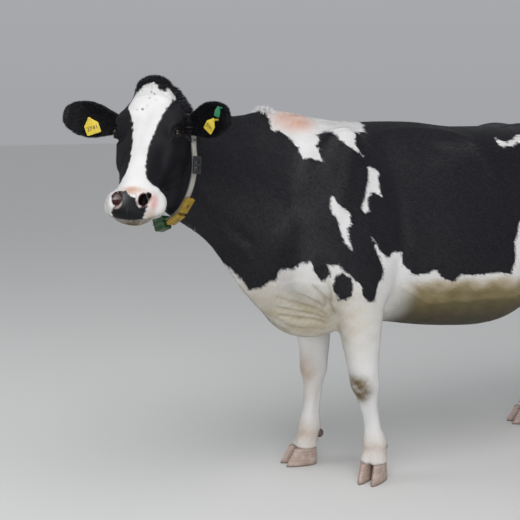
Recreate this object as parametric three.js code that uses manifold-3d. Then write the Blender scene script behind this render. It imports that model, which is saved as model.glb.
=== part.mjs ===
// A Holstein-Friesian dairy cow standing on level ground with its head turned to its left.
// Millimetres, +Z up. The cow faces -X and its left side is toward -Y. While it is being shaped,
// x is measured rearwards from the point of the shoulder, y from the middle of the chest and z from
// the ground; at the end the whole animal is set with its origin at the bottom centre of its box.

import * as THREE from 'three';
import { LoftGeometry } from 'three/addons/geometries/LoftGeometry.js';
import { RoundedBoxGeometry } from 'three/addons/geometries/RoundedBoxGeometry.js';
import { mergeVertices } from 'three/addons/utils/BufferGeometryUtils.js';
import Module from 'manifold-3d';

const wasm = await Module();
wasm.setup();

// ---------------------------------------------------------------- driving dimensions

const GAP = 0.3;                    // clearance between neighbouring parts
const NECK_BEND = 0.00042;          // sideways curve of the neck, per mm squared
const RUMP = { end: 1690, lean: 0.10, fullest: 1230, round: 150 };   // plane of the buttocks
const THROAT = { end: -600, round: 80 };                             // where the neck meets the head
const HEAD = {
  poll: [-613, -140, 1592],         // crown of the skull between the ears
  heading: 51,                      // degrees that the face turns from -X toward -Y
  slope: 36,                        // degrees between the face and the vertical
  length: 505,                      // crown to the tip of the muzzle
  muzzleRound: 46,
  crown: -30,                       // back end of the skull, along the face
  crownRound: 50,
  eye: [172, 108, -46],             // along the face, to the side and behind it
  eyeRadius: 21,
};
const EAR = {
  root: [96, 104, -120],            // along the face, to the side and behind it
  length: 246, height: 134,
  widest: 0.6,                      // share of the length at which the leaf is highest
  stalk: 0.44,                      // height of the root as a share of the whole
  forward: { left: 28, right: 16 }, // degrees that each ear swings forward
  lift: 11,                         // degrees that they rise outwards
  cup: 30, curl: 14,                // depth of the hollow, and of the bend toward the tip
  edge: 5.5, thickening: 24,        // half thickness at the tip, and what the root has more
  steps: 8, around: 12,
};
const FOOT = {
  coronet: 72, coronetFront: 60, toe: 104, heel: 40, clawWidth: 54, cleft: 1.6, taper: 3,
  soleRound: 3, levels: [0, 5, 36, 72], around: 10,
};
const DEWCLAW = { height: 128, radius: 15, stretch: 1.5, behind: 50, apart: 25 };
const UDDER = {
  fore: [[1300, 68, 720], [124, 96, 122]],
  rear: [[1450, 66, 730], [126, 96, 170]],
  round: 50, top: 900,
  teats: {
    teat_front_left: [1290, -64, 612], teat_front_right: [1290, 64, 612],
    teat_rear_left: [1428, -52, 580], teat_rear_right: [1428, 52, 580],
  },
  teatOutline: [[0, -62], [10, -58], [13, -20], [20, 30], [20, 60], [0, 60]],
};
const TAG = { depth: 2.6, neck: 7, shoulder: 0.36, studRadius: 4, studLength: 40, clear: 30 };
const TAIL = {
  path: [[1550, 0, 1380], [1630, 0, 1394], [1690, 0, 1358], [1716, 0, 1262], [1726, 0, 1100],
    [1730, -4, 890], [1732, -8, 690]],
  radii: [46, 42, 34, 27, 21, 17, 15],
  switchPath: [[1732, -8, 689], [1732, -9, 600], [1732, -10, 500], [1734, -10, 360]],
  switchRadii: [17, 36, 44, 40, 26, 6],
};
const COLLAR = {
  top: [-514, 1526], bottom: [-580, 1104],      // places of the strap over the crest and below
  sag: [124, 213],                              // half width and half height of the hanging loop
  width: 30, thickness: 5, ease: 3.2,
  steps: 24, round: 3,
  // Each piece: its angle round the strap, size, colour, tilt in degrees and height off the strap.
  pieces: [
    ['collar_buckle', 1.62, [66, 40, 9], 'buckle', 0, 4],
    ['collar_number_block_upper', 2.56, [62, 42, 15], 'yellow', 0, 4],
    ['collar_number_block_lower', 2.87, [62, 42, 15], 'yellow', 0, 4],
    ['collar_transponder', 3.18, [52, 50, 52], 'green', 30, -14],
  ],
};

// Torso and neck sections, front to back: place, top line, underline, half width,
// height of the widest level as a share, roundness above it and below it.
const TORSO = [
  [-640, 1530, 1160, 88, 0.52, 2.0, 2.0],
  [-500, 1510, 1092, 98, 0.52, 1.9, 1.8],
  [-350, 1482, 985, 118, 0.52, 1.8, 1.45],
  [-210, 1482, 812, 152, 0.50, 1.8, 1.45],
  [-90, 1500, 688, 186, 0.47, 1.8, 1.6],
  [20, 1492, 604, 218, 0.45, 1.8, 1.8],
  [120, 1472, 598, 244, 0.43, 1.8, 2.0],
  [300, 1452, 632, 268, 0.42, 1.9, 2.1],
  [450, 1452, 612, 290, 0.42, 2.0, 2.2],
  [600, 1448, 586, 318, 0.42, 2.1, 2.2],
  [760, 1430, 568, 344, 0.42, 2.2, 2.2],
  [900, 1420, 562, 356, 0.42, 2.3, 2.2],
  [1020, 1416, 580, 350, 0.42, 2.4, 2.1],
  [1140, 1426, 650, 334, 0.42, 2.3, 2.1],
  [1260, 1440, 722, 312, 0.42, 2.2, 2.1],
  [1400, 1444, 764, 284, 0.42, 2.2, 2.2],
  [1550, 1436, 862, 232, 0.42, 2.1, 2.2],
  [1680, 1404, 980, 172, 0.45, 2.1, 2.2],
  [1800, 1370, 1050, 150, 0.45, 2.1, 2.2],
];

// Head sections, crown to muzzle: place along the face, height of the face line, jaw line, half
// width, share of the depth at which it is widest, roundness above that level and below it.
const SKULL = [
  [-60, -40, -150, 56, 0.50, 2.0, 2.0],
  [-10, -6, -176, 78, 0.50, 2.0, 2.0],
  [50, 2, -204, 94, 0.52, 2.1, 2.0],
  [120, 2, -222, 106, 0.58, 2.5, 2.0],
  [180, -2, -226, 106, 0.56, 2.4, 2.1],
  [240, -3, -214, 99, 0.50, 2.2, 2.2],
  [300, -5, -182, 86, 0.48, 2.1, 2.2],
  [360, -9, -152, 76, 0.46, 2.2, 2.3],
  [410, -12, -138, 77, 0.46, 2.4, 2.2],
  [450, -14, -120, 90, 0.46, 2.6, 1.9],
  [490, -22, -112, 95, 0.48, 2.6, 1.8],
  [540, -40, -98, 82, 0.50, 2.4, 1.8],
];

// Leg sections, top to coronet: height, reach to the front, to the back and to each side.
const FORELEG = [
  [960, 110, 130, 60],
  [860, 118, 138, 74],
  [760, 104, 122, 78],
  [660, 86, 98, 71],
  [560, 74, 80, 62],
  [480, 64, 68, 56],
  [430, 60, 60, 57],
  [392, 58, 58, 57],
  [350, 44, 46, 45],
  [295, 36, 42, 38],
  [225, 33, 40, 35],
  [185, 40, 48, 43],
  [155, 46, 54, 50],
  [122, 44, 48, 48],
  [96, 50, 46, 52],
  [50, 58, 44, 56],
];
const HINDLEG = [
  [1080, 190, 180, 84],
  [960, 212, 196, 104],
  [860, 206, 198, 108],
  [770, 172, 176, 92],
  [690, 128, 138, 72],
  [620, 90, 98, 56],
  [560, 70, 84, 50],
  [520, 62, 78, 49],
  [460, 52, 62, 45],
  [380, 42, 48, 37],
  [290, 38, 44, 36],
  [215, 38, 46, 39],
  [160, 46, 56, 50],
  [122, 45, 50, 48],
  [96, 50, 46, 52],
  [50, 58, 44, 56],
];

// Middle line of each leg, from the body down to the hoof, and how far its toes turn outwards.
const LEGS = {
  front_left: {
    sections: FORELEG, side: -1, toeOut: 38,
    line: [[214, -196, 960], [226, -196, 740], [270, -184, 410], [324, -178, 165], [322, -178, 60]],
  },
  front_right: {
    sections: FORELEG, side: 1, toeOut: 2,
    line: [[214, 190, 960], [230, 184, 740], [226, 152, 410], [192, 132, 165], [170, 128, 60]],
  },
  rear_left: {
    sections: HINDLEG, side: -1, toeOut: 12,
    line: [[1470, -148, 1080], [1482, -164, 860], [1552, -166, 690], [1638, -158, 540],
      [1624, -158, 390], [1612, -164, 165], [1590, -166, 60]],
  },
  rear_right: {
    sections: HINDLEG, side: 1, toeOut: 12,
    line: [[1464, 148, 1080], [1462, 164, 860], [1496, 166, 690], [1526, 154, 540],
      [1490, 152, 390], [1444, 156, 165], [1420, 158, 60]],
  },
};

// Swellings of bone and muscle that stand out from the sections: middle, reach along x, y and z,
// and how softly they run into the body. Each is made on both sides.
const SWELLINGS = {
  shoulderBlade: [[165, 176, 1150], [150, 70, 290], 110],
  pointOfShoulder: [[24, 178, 930], [100, 66, 150], 100],
  upperArm: [[220, 206, 900], [140, 66, 140], 90],
  brisket: [[105, 60, 700], [150, 84, 94], 80],
  hipBone: [[1236, 226, 1368], [92, 58, 54], 90],
  loinEdge: [[980, 180, 1336], [270, 84, 56], 120],
  thurl: [[1440, 216, 1120], [170, 66, 210], 100],
  pinBone: [[1640, 140, 1290], [60, 46, 58], 70],
  stifle: [[1322, 224, 830], [96, 58, 110], 80],
};

// ---------------------------------------------------------------- numbers and fields

const clamp = (value, low, high) => Math.min(high, Math.max(low, value));
const radians = (degrees) => degrees * Math.PI / 180;

// Smooth curve through the rows of a table, with the first column as its place.
function profile(rows) {
  const width = rows[0].length;
  const slope = (i, column) => {
    const a = rows[Math.max(0, i - 1)];
    const b = rows[Math.min(rows.length - 1, i + 1)];
    return (b[column] - a[column]) / (b[0] - a[0]);
  };
  return (place) => {
    let i = 0;
    while (i < rows.length - 2 && (place - rows[i + 1][0]) * (rows[1][0] - rows[0][0]) > 0) i++;
    const [a, b] = [rows[i], rows[i + 1]];
    const span = b[0] - a[0];
    const t = clamp((place - a[0]) / span, 0, 1);
    const value = [];
    for (let column = 1; column < width; column++) {
      const rise = slope(i, column) * span;
      const fall = slope(i + 1, column) * span;
      value.push((2 * t ** 3 - 3 * t * t + 1) * a[column] + (t ** 3 - 2 * t * t + t) * rise
        + (3 * t * t - 2 * t ** 3) * b[column] + (t ** 3 - t * t) * fall);
    }
    return value;
  };
}

// Distances are negative inside. The two blends below round the meeting of shapes over `soft` mm.
function join(a, b, soft) {
  const near = Math.max(soft - Math.abs(a - b), 0) / soft;
  return Math.min(a, b) - near * near * soft / 4;
}

function trim(a, b, soft) {
  return -join(-a, -b, soft);
}

// Distance to a closed oval section: `u` and `v` run from its middle, `a` and `b` are its reach.
function oval(u, v, a, b, power) {
  const reach = Math.hypot(u, v);
  const scale = (Math.abs(u / a) ** power + Math.abs(v / b) ** power) ** (1 / power);
  return scale < 1e-6 ? -Math.min(a, b) : reach * (1 - 1 / scale);
}

function ellipsoid(x, y, z, [cx, cy, cz], [a, b, c]) {
  const [u, v, w] = [x - cx, y - cy, z - cz];
  const near = Math.hypot(u / a, v / b, w / c);
  const steep = Math.hypot(u / a / a, v / b / b, w / c / c);
  return steep < 1e-9 ? -Math.min(a, b, c) : near * (near - 1) / steep;
}

const torsoAt = profile(TORSO);
const skullAt = profile(SKULL);

// Sideways place of the spine: straight along the trunk, bending to the left in the neck.
const spine = (x) => (x < 0 ? -NECK_BEND * x * x : 0);

function torso(x, y, z) {
  const [top, bottom, half, belt, upper, lower] = torsoAt(x);
  const turn = x < 0 ? Math.cos(Math.atan(2 * NECK_BEND * x)) : 1;
  const middle = bottom + belt * (top - bottom);
  const rise = z - middle;
  const high = rise > 0;
  const side = (y - spine(x)) * turn;
  const shell = oval(side, rise, half, high ? top - middle : middle - bottom, high ? upper : lower);
  const buttocks = x - RUMP.end + RUMP.lean * Math.abs(z - RUMP.fullest);
  return trim(trim(shell, buttocks, RUMP.round), THROAT.end - x, THROAT.round);
}

const headTurn = radians(HEAD.heading);
const headSlope = radians(HEAD.slope);
const ahead = new THREE.Vector3(-Math.cos(headTurn), -Math.sin(headTurn), 0);
const up = new THREE.Vector3(0, 0, 1);
const alongFace = ahead.clone().multiplyScalar(Math.sin(headSlope))
  .addScaledVector(up, -Math.cos(headSlope));
const offFace = ahead.clone().multiplyScalar(Math.cos(headSlope))
  .addScaledVector(up, Math.sin(headSlope));
const headLeft = new THREE.Vector3(-ahead.y, ahead.x, 0);
const poll = new THREE.Vector3(...HEAD.poll);

// From head measures (along the face, to the cow's left, off the face) to the animal's own frame.
const headPoint = (along, left, off) => poll.clone().addScaledVector(alongFace, along)
  .addScaledVector(headLeft, left).addScaledVector(offFace, off);

// Features of the head, in head measures: middle, reach and softness. Those off the middle line
// are made on both sides.
const FEATURES = {
  topknot: [[-4, 0, -22], [50, 70, 51], 26],
  forehead: [[100, 0, -30], [95, 74, 34], 40],
  brow: [[150, 95, -36], [58, 33, 30], 28],
  cheekBone: [[232, 84, -74], [80, 24, 24], 30],
  jawMuscle: [[196, 78, -148], [84, 40, 72], 34],
  templeRidge: [[100, 88, -66], [56, 26, 30], 30],
  earBase: [[92, 88, -126], [52, 32, 50], 44],
  noseBridge: [[350, 0, -34], [120, 42, 30], 34],
  nostrilRim: [[478, 54, -40], [38, 32, 30], 22],
  upperLip: [[506, 0, -60], [26, 62, 44], 24],
  lipCorner: [[448, 77, -74], [46, 31, 36], 22],
  chin: [[462, 0, -98], [50, 46, 24], 20],
};
const NOSTRIL = [[470, 51, -12], [20, 13, 18], 8];

function head(x, y, z) {
  const [dx, dy, dz] = [x - poll.x, y - poll.y, z - poll.z];
  const along = dx * alongFace.x + dy * alongFace.y + dz * alongFace.z;
  const left = Math.abs(dx * headLeft.x + dy * headLeft.y + dz * headLeft.z);
  const off = dx * offFace.x + dy * offFace.y + dz * offFace.z;
  const [face, jaw, half, belt, upper, lower] = skullAt(along);
  const middle = jaw + belt * (face - jaw);
  const rise = off - middle;
  const high = rise > 0;
  const shell = oval(left, rise, half, high ? face - middle : middle - jaw, high ? upper : lower);
  let nearest = trim(shell, along - HEAD.length, HEAD.muzzleRound);
  nearest = trim(nearest, HEAD.crown - along, HEAD.crownRound);
  for (const [middlePoint, reach, soft] of Object.values(FEATURES)) {
    nearest = join(nearest, ellipsoid(along, left, off, middlePoint, reach), soft);
  }
  const nostril = ellipsoid(along, left, off, NOSTRIL[0], NOSTRIL[1]);
  return trim(nearest, -nostril, NOSTRIL[2]);
}

// A leg, as oval sections stacked along its own middle line. Its lower part turns with the toes.
const LEG_POWER = 2.2;
const TURN = { top: 560, over: 300 };
const LEG_TOP_ROUND = 60;

for (const leg of Object.values(LEGS)) {
  leg.sectionAt = profile(leg.sections);
  leg.lineAt = profile(leg.line.map(([x, y, z]) => [z, x, y]));
}

function legTurn(leg, z) {
  const share = clamp((TURN.top - z) / TURN.over, 0, 1);
  return -leg.side * radians(leg.toeOut) * share * share * (3 - 2 * share);
}

function legField(leg, x, y, z) {
  const [front, back, side] = leg.sectionAt(z);
  const [lineX, lineY] = leg.lineAt(z);
  const turn = legTurn(leg, z);
  const u = (x - lineX) * Math.cos(turn) + (y - lineY) * Math.sin(turn);
  const v = (y - lineY) * Math.cos(turn) - (x - lineX) * Math.sin(turn);
  const shell = oval(u, v, u < 0 ? front : back, side, LEG_POWER);
  return trim(shell, z - leg.sections[0][0], LEG_TOP_ROUND);
}

// How softly the hind legs, forelegs and head run into the body, and how far each one reaches.
const BLEND = { hind: 70, fore: 46, head: 56 };
const REACH = { legTop: 1120, hindFrom: 1000, foreTo: 700, headFrom: -330, acrossMiddle: 50 };

function body(x, y, z) {
  let nearest = torso(x, y, z);
  for (const [[cx, cy, cz], reach, soft] of Object.values(SWELLINGS)) {
    if (Math.abs(x - cx) < reach[0] + 2 * soft) {
      nearest = join(nearest, ellipsoid(x, Math.abs(y), z, [cx, cy, cz], reach), soft);
    }
  }
  if (z < REACH.legTop) {
    for (const leg of Object.values(LEGS)) {
      const hind = leg.sections === HINDLEG;
      if ((hind ? x > REACH.hindFrom : x < REACH.foreTo) && y * leg.side > -REACH.acrossMiddle) {
        nearest = join(nearest, legField(leg, x, y, z), hind ? BLEND.hind : BLEND.fore);
      }
    }
  }
  if (x < REACH.headFrom) nearest = join(nearest, head(x, y, z), BLEND.head);
  return nearest;
}

function udder(x, y, z) {
  const side = Math.abs(y);
  const quarters = join(ellipsoid(x, side, z, ...UDDER.fore), ellipsoid(x, side, z, ...UDDER.rear),
    UDDER.round);
  return Math.max(quarters, z - UDDER.top);
}

// ---------------------------------------------------------------- surfaces and solids

const WALL_INSET = 0.6;    // where the walls of the box cut the field, in cells
const MOST_MOVED = 0.45;   // farthest that a point settles from its start, in cells

// Closed surface of a field inside a box, on a grid of the given cell. Each point is moved onto
// the field's own surface, so the cells may be large.
function surfaceOf(field, [low, high], cell) {
  const count = cell.map((size, i) => Math.ceil((high[i] - low[i]) / size) + 1);
  const index = (i, j, k) => i + count[0] * (j + count[1] * k);
  const walled = (...place) => Math.max(field(...place), ...place.map((v, axis) =>
    cell[axis] * WALL_INSET + Math.max(low[axis] - v, v - high[axis])));
  const at = (i, j, k) => [low[0] + i * cell[0], low[1] + j * cell[1], low[2] + k * cell[2]];
  const value = new Float32Array(count[0] * count[1] * count[2]);
  for (let k = 0; k < count[2]; k++) {
    for (let j = 0; j < count[1]; j++) {
      for (let i = 0; i < count[0]; i++) {
        const edge = i === 0 || j === 0 || k === 0 || i === count[0] - 1 || j === count[1] - 1
          || k === count[2] - 1;
        value[index(i, j, k)] = edge ? Math.max(1, walled(...at(i, j, k))) : walled(...at(i, j, k));
      }
    }
  }
  const corners = [0, 1, 2, 3, 4, 5, 6, 7].map((c) => [c & 1, (c >> 1) & 1, c >> 2]);
  const points = [];
  const pointOf = new Int32Array(value.length * 8).fill(-1);
  for (let k = 0; k < count[2] - 1; k++) {
    for (let j = 0; j < count[1] - 1; j++) {
      for (let i = 0; i < count[0] - 1; i++) {
        const here = corners.map(([a, b, c]) => value[index(i + a, j + b, k + c)]);
        for (const group of insideGroups(here)) {
          const sum = [0, 0, 0, 0];
          for (const a of group) {
            for (const bit of [1, 2, 4]) {
              const b = a ^ bit;
              if (here[b] < 0) continue;
              const t = here[a] / (here[a] - here[b]);
              for (let axis = 0; axis < 3; axis++) {
                sum[axis] += corners[a][axis] + t * (corners[b][axis] - corners[a][axis]);
              }
              sum[3]++;
            }
          }
          if (!sum[3]) continue;
          for (const a of group) pointOf[index(i, j, k) * 8 + a] = points.length;
          const start = at(i + sum[0] / sum[3], j + sum[1] / sum[3], k + sum[2] / sum[3]);
          points.push(settle(field, start, cell));
        }
      }
    }
  }
  const faces = [];
  // The four cells round a grid edge, each with the corner of it where the edge's inner end lies.
  const quad = (places, inner, flip) => {
    const corner = places.map(([a, b, c]) => {
      const spot = (inner[0] - a) + 2 * (inner[1] - b) + 4 * (inner[2] - c);
      return pointOf[index(a, b, c) * 8 + spot];
    });
    if (flip) corner.reverse();
    const [a, b, c, d] = corner;
    const gap = (m, n) => Math.hypot(...points[m].map((v, axis) => v - points[n][axis]));
    if (gap(a, c) < gap(b, d)) faces.push([a, b, c], [a, c, d]);
    else faces.push([a, b, d], [b, c, d]);
  };
  const steps = [[1, 0, 0], [0, 1, 0], [0, 0, 1]];
  for (let k = 0; k < count[2] - 1; k++) {
    for (let j = 0; j < count[1] - 1; j++) {
      for (let i = 0; i < count[0] - 1; i++) {
        const inside = value[index(i, j, k)] < 0;
        for (let axis = 0; axis < 3; axis++) {
          const next = [i + steps[axis][0], j + steps[axis][1], k + steps[axis][2]];
          if (inside === (value[index(...next)] < 0)) continue;
          const [p, q] = [steps[(axis + 1) % 3], steps[(axis + 2) % 3]];
          const places = [[1, 1], [0, 1], [0, 0], [1, 0]]
            .map(([m, n]) => [i, j, k].map((v, w) => v - m * p[w] - n * q[w]));
          quad(places, inside ? [i, j, k] : next, !inside);
        }
      }
    }
  }
  const geometry = new THREE.BufferGeometry();
  geometry.setAttribute('position', new THREE.Float32BufferAttribute(points.flat(), 3));
  geometry.setIndex(faces.flat());
  return geometry;
}

// The corners of a cell that lie inside, in groups that touch along its edges.
function insideGroups(values) {
  const groups = [];
  const seen = new Set();
  for (let first = 0; first < 8; first++) {
    if (values[first] >= 0 || seen.has(first)) continue;
    const group = [first];
    seen.add(first);
    for (const a of group) {
      for (const b of [a ^ 1, a ^ 2, a ^ 4]) {
        if (values[b] < 0 && !seen.has(b)) {
          seen.add(b);
          group.push(b);
        }
      }
    }
    groups.push(group);
  }
  return groups;
}

// Moves a point along the field's slope onto its surface, by less than a cell. A point on a wall
// of the box, which the surface only passes, stays where it is.
function settle(field, start, cell) {
  const point = [...start];
  const onWall = 0.4 * Math.min(...cell);
  const beside = 1.5;
  const leastSteep = 0.15;
  if (Math.abs(field(...start)) > onWall) return point;
  for (let round = 0; round < 5; round++) {
    const here = field(...point);
    const slope = [0, 1, 2].map((axis) => {
      const next = [...point];
      next[axis] += beside;
      return (field(...next) - here) / beside;
    });
    const steep = Math.max(leastSteep, slope[0] ** 2 + slope[1] ** 2 + slope[2] ** 2);
    for (let axis = 0; axis < 3; axis++) {
      const most = MOST_MOVED * cell[axis];
      const moved = point[axis] - here * slope[axis] / steep;
      point[axis] = clamp(moved, start[axis] - most, start[axis] + most);
    }
  }
  return point;
}

// A closed geometry as a solid that can be cut and joined.
function solid(geometry) {
  const bare = new THREE.BufferGeometry();
  bare.setAttribute('position', geometry.getAttribute('position').clone());
  if (geometry.index) bare.setIndex(geometry.index.clone());
  const merged = mergeVertices(bare, 1e-3);
  const corners = merged.index.array;
  const kept = [];
  for (let i = 0; i < corners.length; i += 3) {
    const [a, b, c] = [corners[i], corners[i + 1], corners[i + 2]];
    if (a !== b && b !== c && c !== a) kept.push(a, b, c);
  }
  return new wasm.Manifold(new wasm.Mesh({
    numProp: 3,
    vertProperties: new Float32Array(merged.getAttribute('position').array),
    triVerts: new Uint32Array(kept),
  }));
}

function geometryOf(manifold) {
  const mesh = manifold.getMesh();
  const geometry = new THREE.BufferGeometry();
  geometry.setAttribute('position', new THREE.Float32BufferAttribute(mesh.vertProperties, 3));
  geometry.setIndex([...mesh.triVerts]);
  return geometry;
}

// A loft with both ends drawn together to a point, turned so that its faces point outwards.
function closedLoft(rings) {
  const end = (ring) => {
    const middle = new THREE.Vector3();
    for (const point of ring) middle.addScaledVector(point, 1 / ring.length);
    return ring.map(() => middle);
  };
  const sections = [end(rings[0]), ...rings, end(rings.at(-1))];
  const shape = solid(new LoftGeometry(sections));
  if (shape.volume() > 0) return shape;
  return solid(new LoftGeometry(sections.map((ring) => [...ring].reverse())));
}

// The space that a solid takes up with a clearance round it, to cut its neighbours with.
function room(manifold, clearance = 2 * GAP) {
  const geometry = geometryOf(manifold);
  geometry.computeVertexNormals();
  const place = geometry.getAttribute('position');
  const normal = geometry.getAttribute('normal');
  for (let i = 0; i < place.count; i++) {
    const moved = new THREE.Vector3().fromBufferAttribute(place, i)
      .addScaledVector(new THREE.Vector3().fromBufferAttribute(normal, i), clearance);
    place.setXYZ(i, moved.x, moved.y, moved.z);
  }
  return solid(geometry).add(manifold);
}

function block(low, high) {
  const size = high.map((v, i) => v - low[i]);
  return solid(new THREE.BoxGeometry(...size)
    .translate(low[0] + size[0] / 2, low[1] + size[1] / 2, low[2] + size[2] / 2));
}

// Everything ahead of a plane through `point`, on the side its normal points to.
function beyond(point, normal) {
  const far = 4000;
  const turn = new THREE.Quaternion().setFromUnitVectors(new THREE.Vector3(0, 0, 1),
    normal.clone().normalize());
  return solid(new THREE.BoxGeometry(far, far, far).translate(0, 0, far / 2).applyQuaternion(turn)
    .translate(...point));
}

const coat = {
  black: [0x17171b, 0.62], white: [0xe6e1d6, 0.7], skin: [0xd9b7a4, 0.6], horn: [0x8d7c70, 0.5],
  eye: [0x120d0b, 0.12], strap: [0x9b978c, 0.8], buckle: [0x16171a, 0.4], yellow: [0xd9a514, 0.45],
  green: [0x1f6b3a, 0.45],
};

const animal = new THREE.Group();

function add(name, shape, [colour, roughness]) {
  const geometry = shape.isBufferGeometry ? shape : geometryOf(shape);
  const material = new THREE.MeshStandardMaterial({ color: colour, roughness, metalness: 0 });
  const mesh = new THREE.Mesh(geometry, material);
  mesh.name = name;
  animal.add(mesh);
}

const largest = (manifold) => manifold.decompose().sort((a, b) => b.volume() - a.volume())[0];

// ---------------------------------------------------------------- trunk, neck and head

// The neck ends at a slanting plane ahead of the shoulder, and the head at one behind the jaw.
const neckRoot = [-10, 0, 1100];
const neckRootNormal = new THREE.Vector3(-1, 0, 0.26);
const neckHead = [-524, -120, 1370];
const neckHeadNormal = new THREE.Vector3(-0.97, -0.2, 0.12);
const aheadOf = (point, normal, by) => beyond(
  new THREE.Vector3(...point).addScaledVector(normal.clone().normalize(), by), normal);

const front = { x: [116, 354], top: 730, knee: 405, inner: 84 };
const rear = { x: [1236, 1900], top: 880, hock: 560, inner: GAP / 2 };

// Block of space that each leg fills below the trunk.
function legRoom(leg, clearance) {
  const { x, top, inner } = leg.sections === HINDLEG ? rear : front;
  const across = [inner - clearance, 500].map((y) => leg.side * y).sort((a, b) => a - b);
  return block([x[0] - clearance, across[0], -50], [x[1] + clearance, across[1], top + clearance]);
}

const headSkin = solid(surfaceOf(body, [[-960, -560, 1040], [-470, 40, 1700]], [33, 32, 33]));
const neckSkin = solid(surfaceOf(body, [[-640, -340, 560], [280, 340, 1640]], [78, 56, 78]));
let trunkSkin = solid(surfaceOf(body, [[-300, -440, 480], [1800, 440, 1560]], [112, 80, 82]));

const headCut = aheadOf(neckHead, neckHeadNormal, 0);
const headBehind = aheadOf(neckHead, neckHeadNormal, -GAP);
const neckCut = aheadOf(neckRoot, neckRootNormal, 0);
const neckBehind = aheadOf(neckRoot, neckRootNormal, -GAP);
let headSolid = headSkin.intersect(headCut);
trunkSkin = trunkSkin.subtract(neckBehind);
for (const leg of Object.values(LEGS)) trunkSkin = trunkSkin.subtract(legRoom(leg, GAP));
const trunkSolid = largest(trunkSkin);
const neckSolid = largest(neckSkin.intersect(neckCut).subtract(headBehind));
add('trunk', trunkSolid, coat.black);
add('neck', neckSolid, coat.black);

// ---------------------------------------------------------------- eyes

// Each eyeball is set in its own socket under the brow.
for (const [name, side] of [['eye_left', 1], ['eye_right', -1]]) {
  const [along, left, off] = HEAD.eye;
  const place = headPoint(along, side * left, off);
  const ball = new THREE.SphereGeometry(HEAD.eyeRadius, 10, 6).translate(place.x, place.y, place.z);
  const eye = solid(ball);
  headSolid = headSolid.subtract(room(eye));
  add(name, eye, coat.eye);
}
headSolid = largest(headSolid);
add('head', headSolid, coat.white);

// ---------------------------------------------------------------- ears

// Where an ear grows from, the way it points, the way its hollow faces and its upward side.
function earFrame(side, forward) {
  const lift = radians(EAR.lift);
  const swing = radians(forward);
  const root = headPoint(EAR.root[0], side * EAR.root[1], EAR.root[2]);
  const outwards = headLeft.clone().multiplyScalar(side * Math.cos(swing))
    .addScaledVector(ahead, Math.sin(swing))
    .multiplyScalar(Math.cos(lift)).addScaledVector(up, Math.sin(lift));
  const facing = ahead.clone().multiplyScalar(Math.cos(swing))
    .addScaledVector(headLeft, -side * Math.sin(swing));
  const high = new THREE.Vector3().crossVectors(outwards, facing).multiplyScalar(-side).normalize();
  return { root, outwards, facing, high };
}

// A cupped leaf on a short stalk: rings of an oval section whose front is hollowed.
function ear({ root, outwards, facing, high }) {
  const rings = [];
  const tallest = EAR.height / 2;
  for (let i = 0; i <= EAR.steps; i++) {
    const place = 0.985 * (1 - (1 - i / EAR.steps) ** 1.35);
    const widening = THREE.MathUtils.smoothstep(place, 0, EAR.widest);
    const leaf = place < EAR.widest ? EAR.stalk + (1 - EAR.stalk) * widening
      : Math.sqrt(1 - ((place - EAR.widest) / (1 - EAR.widest)) ** 2);
    const half = Math.max(EAR.edge, tallest * leaf);
    const cup = EAR.cup * Math.sin(Math.PI * Math.min(1, 0.12 + place)) * (half / tallest);
    const thick = EAR.thickening * (1 - place) ** 1.6 + EAR.edge;
    const centre = root.clone().addScaledVector(outwards, place * EAR.length)
      .addScaledVector(facing, EAR.curl * place * place);
    const ring = [];
    for (let j = 0; j < EAR.around; j++) {
      const angle = j / EAR.around * 2 * Math.PI;
      const across = Math.cos(angle);
      const bowl = cup * (across * across - 0.5);
      ring.push(centre.clone().addScaledVector(high, half * across)
        .addScaledVector(facing, bowl + thick * Math.sin(angle)));
    }
    rings.push(ring);
  }
  return closedLoft(rings);
}

const headRoom = room(headSolid);
const neckRoom = room(neckSolid);
const ears = {
  ear_left: { frame: earFrame(1, EAR.forward.left) },
  ear_right: { frame: earFrame(-1, EAR.forward.right) },
};
for (const [name, it] of Object.entries(ears)) {
  it.solid = largest(ear(it.frame).subtract(headRoom).subtract(neckRoom));
  it.room = room(it.solid);
  add(name, it.solid, coat.black);
}

// ---------------------------------------------------------------- ear tags

// A flat plate with a narrow neck, held in front of the ear's hollow by a stud.
function earTag({ root, outwards, facing, high }, along, upwards, width, height, lean) {
  const outline = new THREE.Shape();
  outline.moveTo(-TAG.neck, 0);
  outline.lineTo(-width / 2, -height * TAG.shoulder);
  outline.lineTo(-width / 2, -height);
  outline.lineTo(width / 2, -height);
  outline.lineTo(width / 2, -height * TAG.shoulder);
  outline.lineTo(TAG.neck, 0);
  outline.absarc(0, 0, TAG.neck, 0, Math.PI, false);
  const plate = new THREE.ExtrudeGeometry(outline,
    { depth: TAG.depth, bevelEnabled: false, curveSegments: 3 });
  const stud = new THREE.CylinderGeometry(TAG.studRadius, TAG.studRadius, TAG.studLength, 6)
    .rotateX(Math.PI / 2).translate(0, 0, 2 - TAG.studLength / 2);
  const place = root.clone().addScaledVector(outwards, along).addScaledVector(high, upwards)
    .addScaledVector(facing, TAG.clear);
  const upright = up.clone().addScaledVector(facing, -up.dot(facing)).normalize()
    .applyAxisAngle(facing, radians(lean));
  const across = new THREE.Vector3().crossVectors(upright, facing).normalize();
  const frame = new THREE.Matrix4().makeBasis(across, upright, facing).setPosition(place);
  return solid(plate.applyMatrix4(frame)).add(solid(stud.applyMatrix4(frame)));
}

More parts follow.
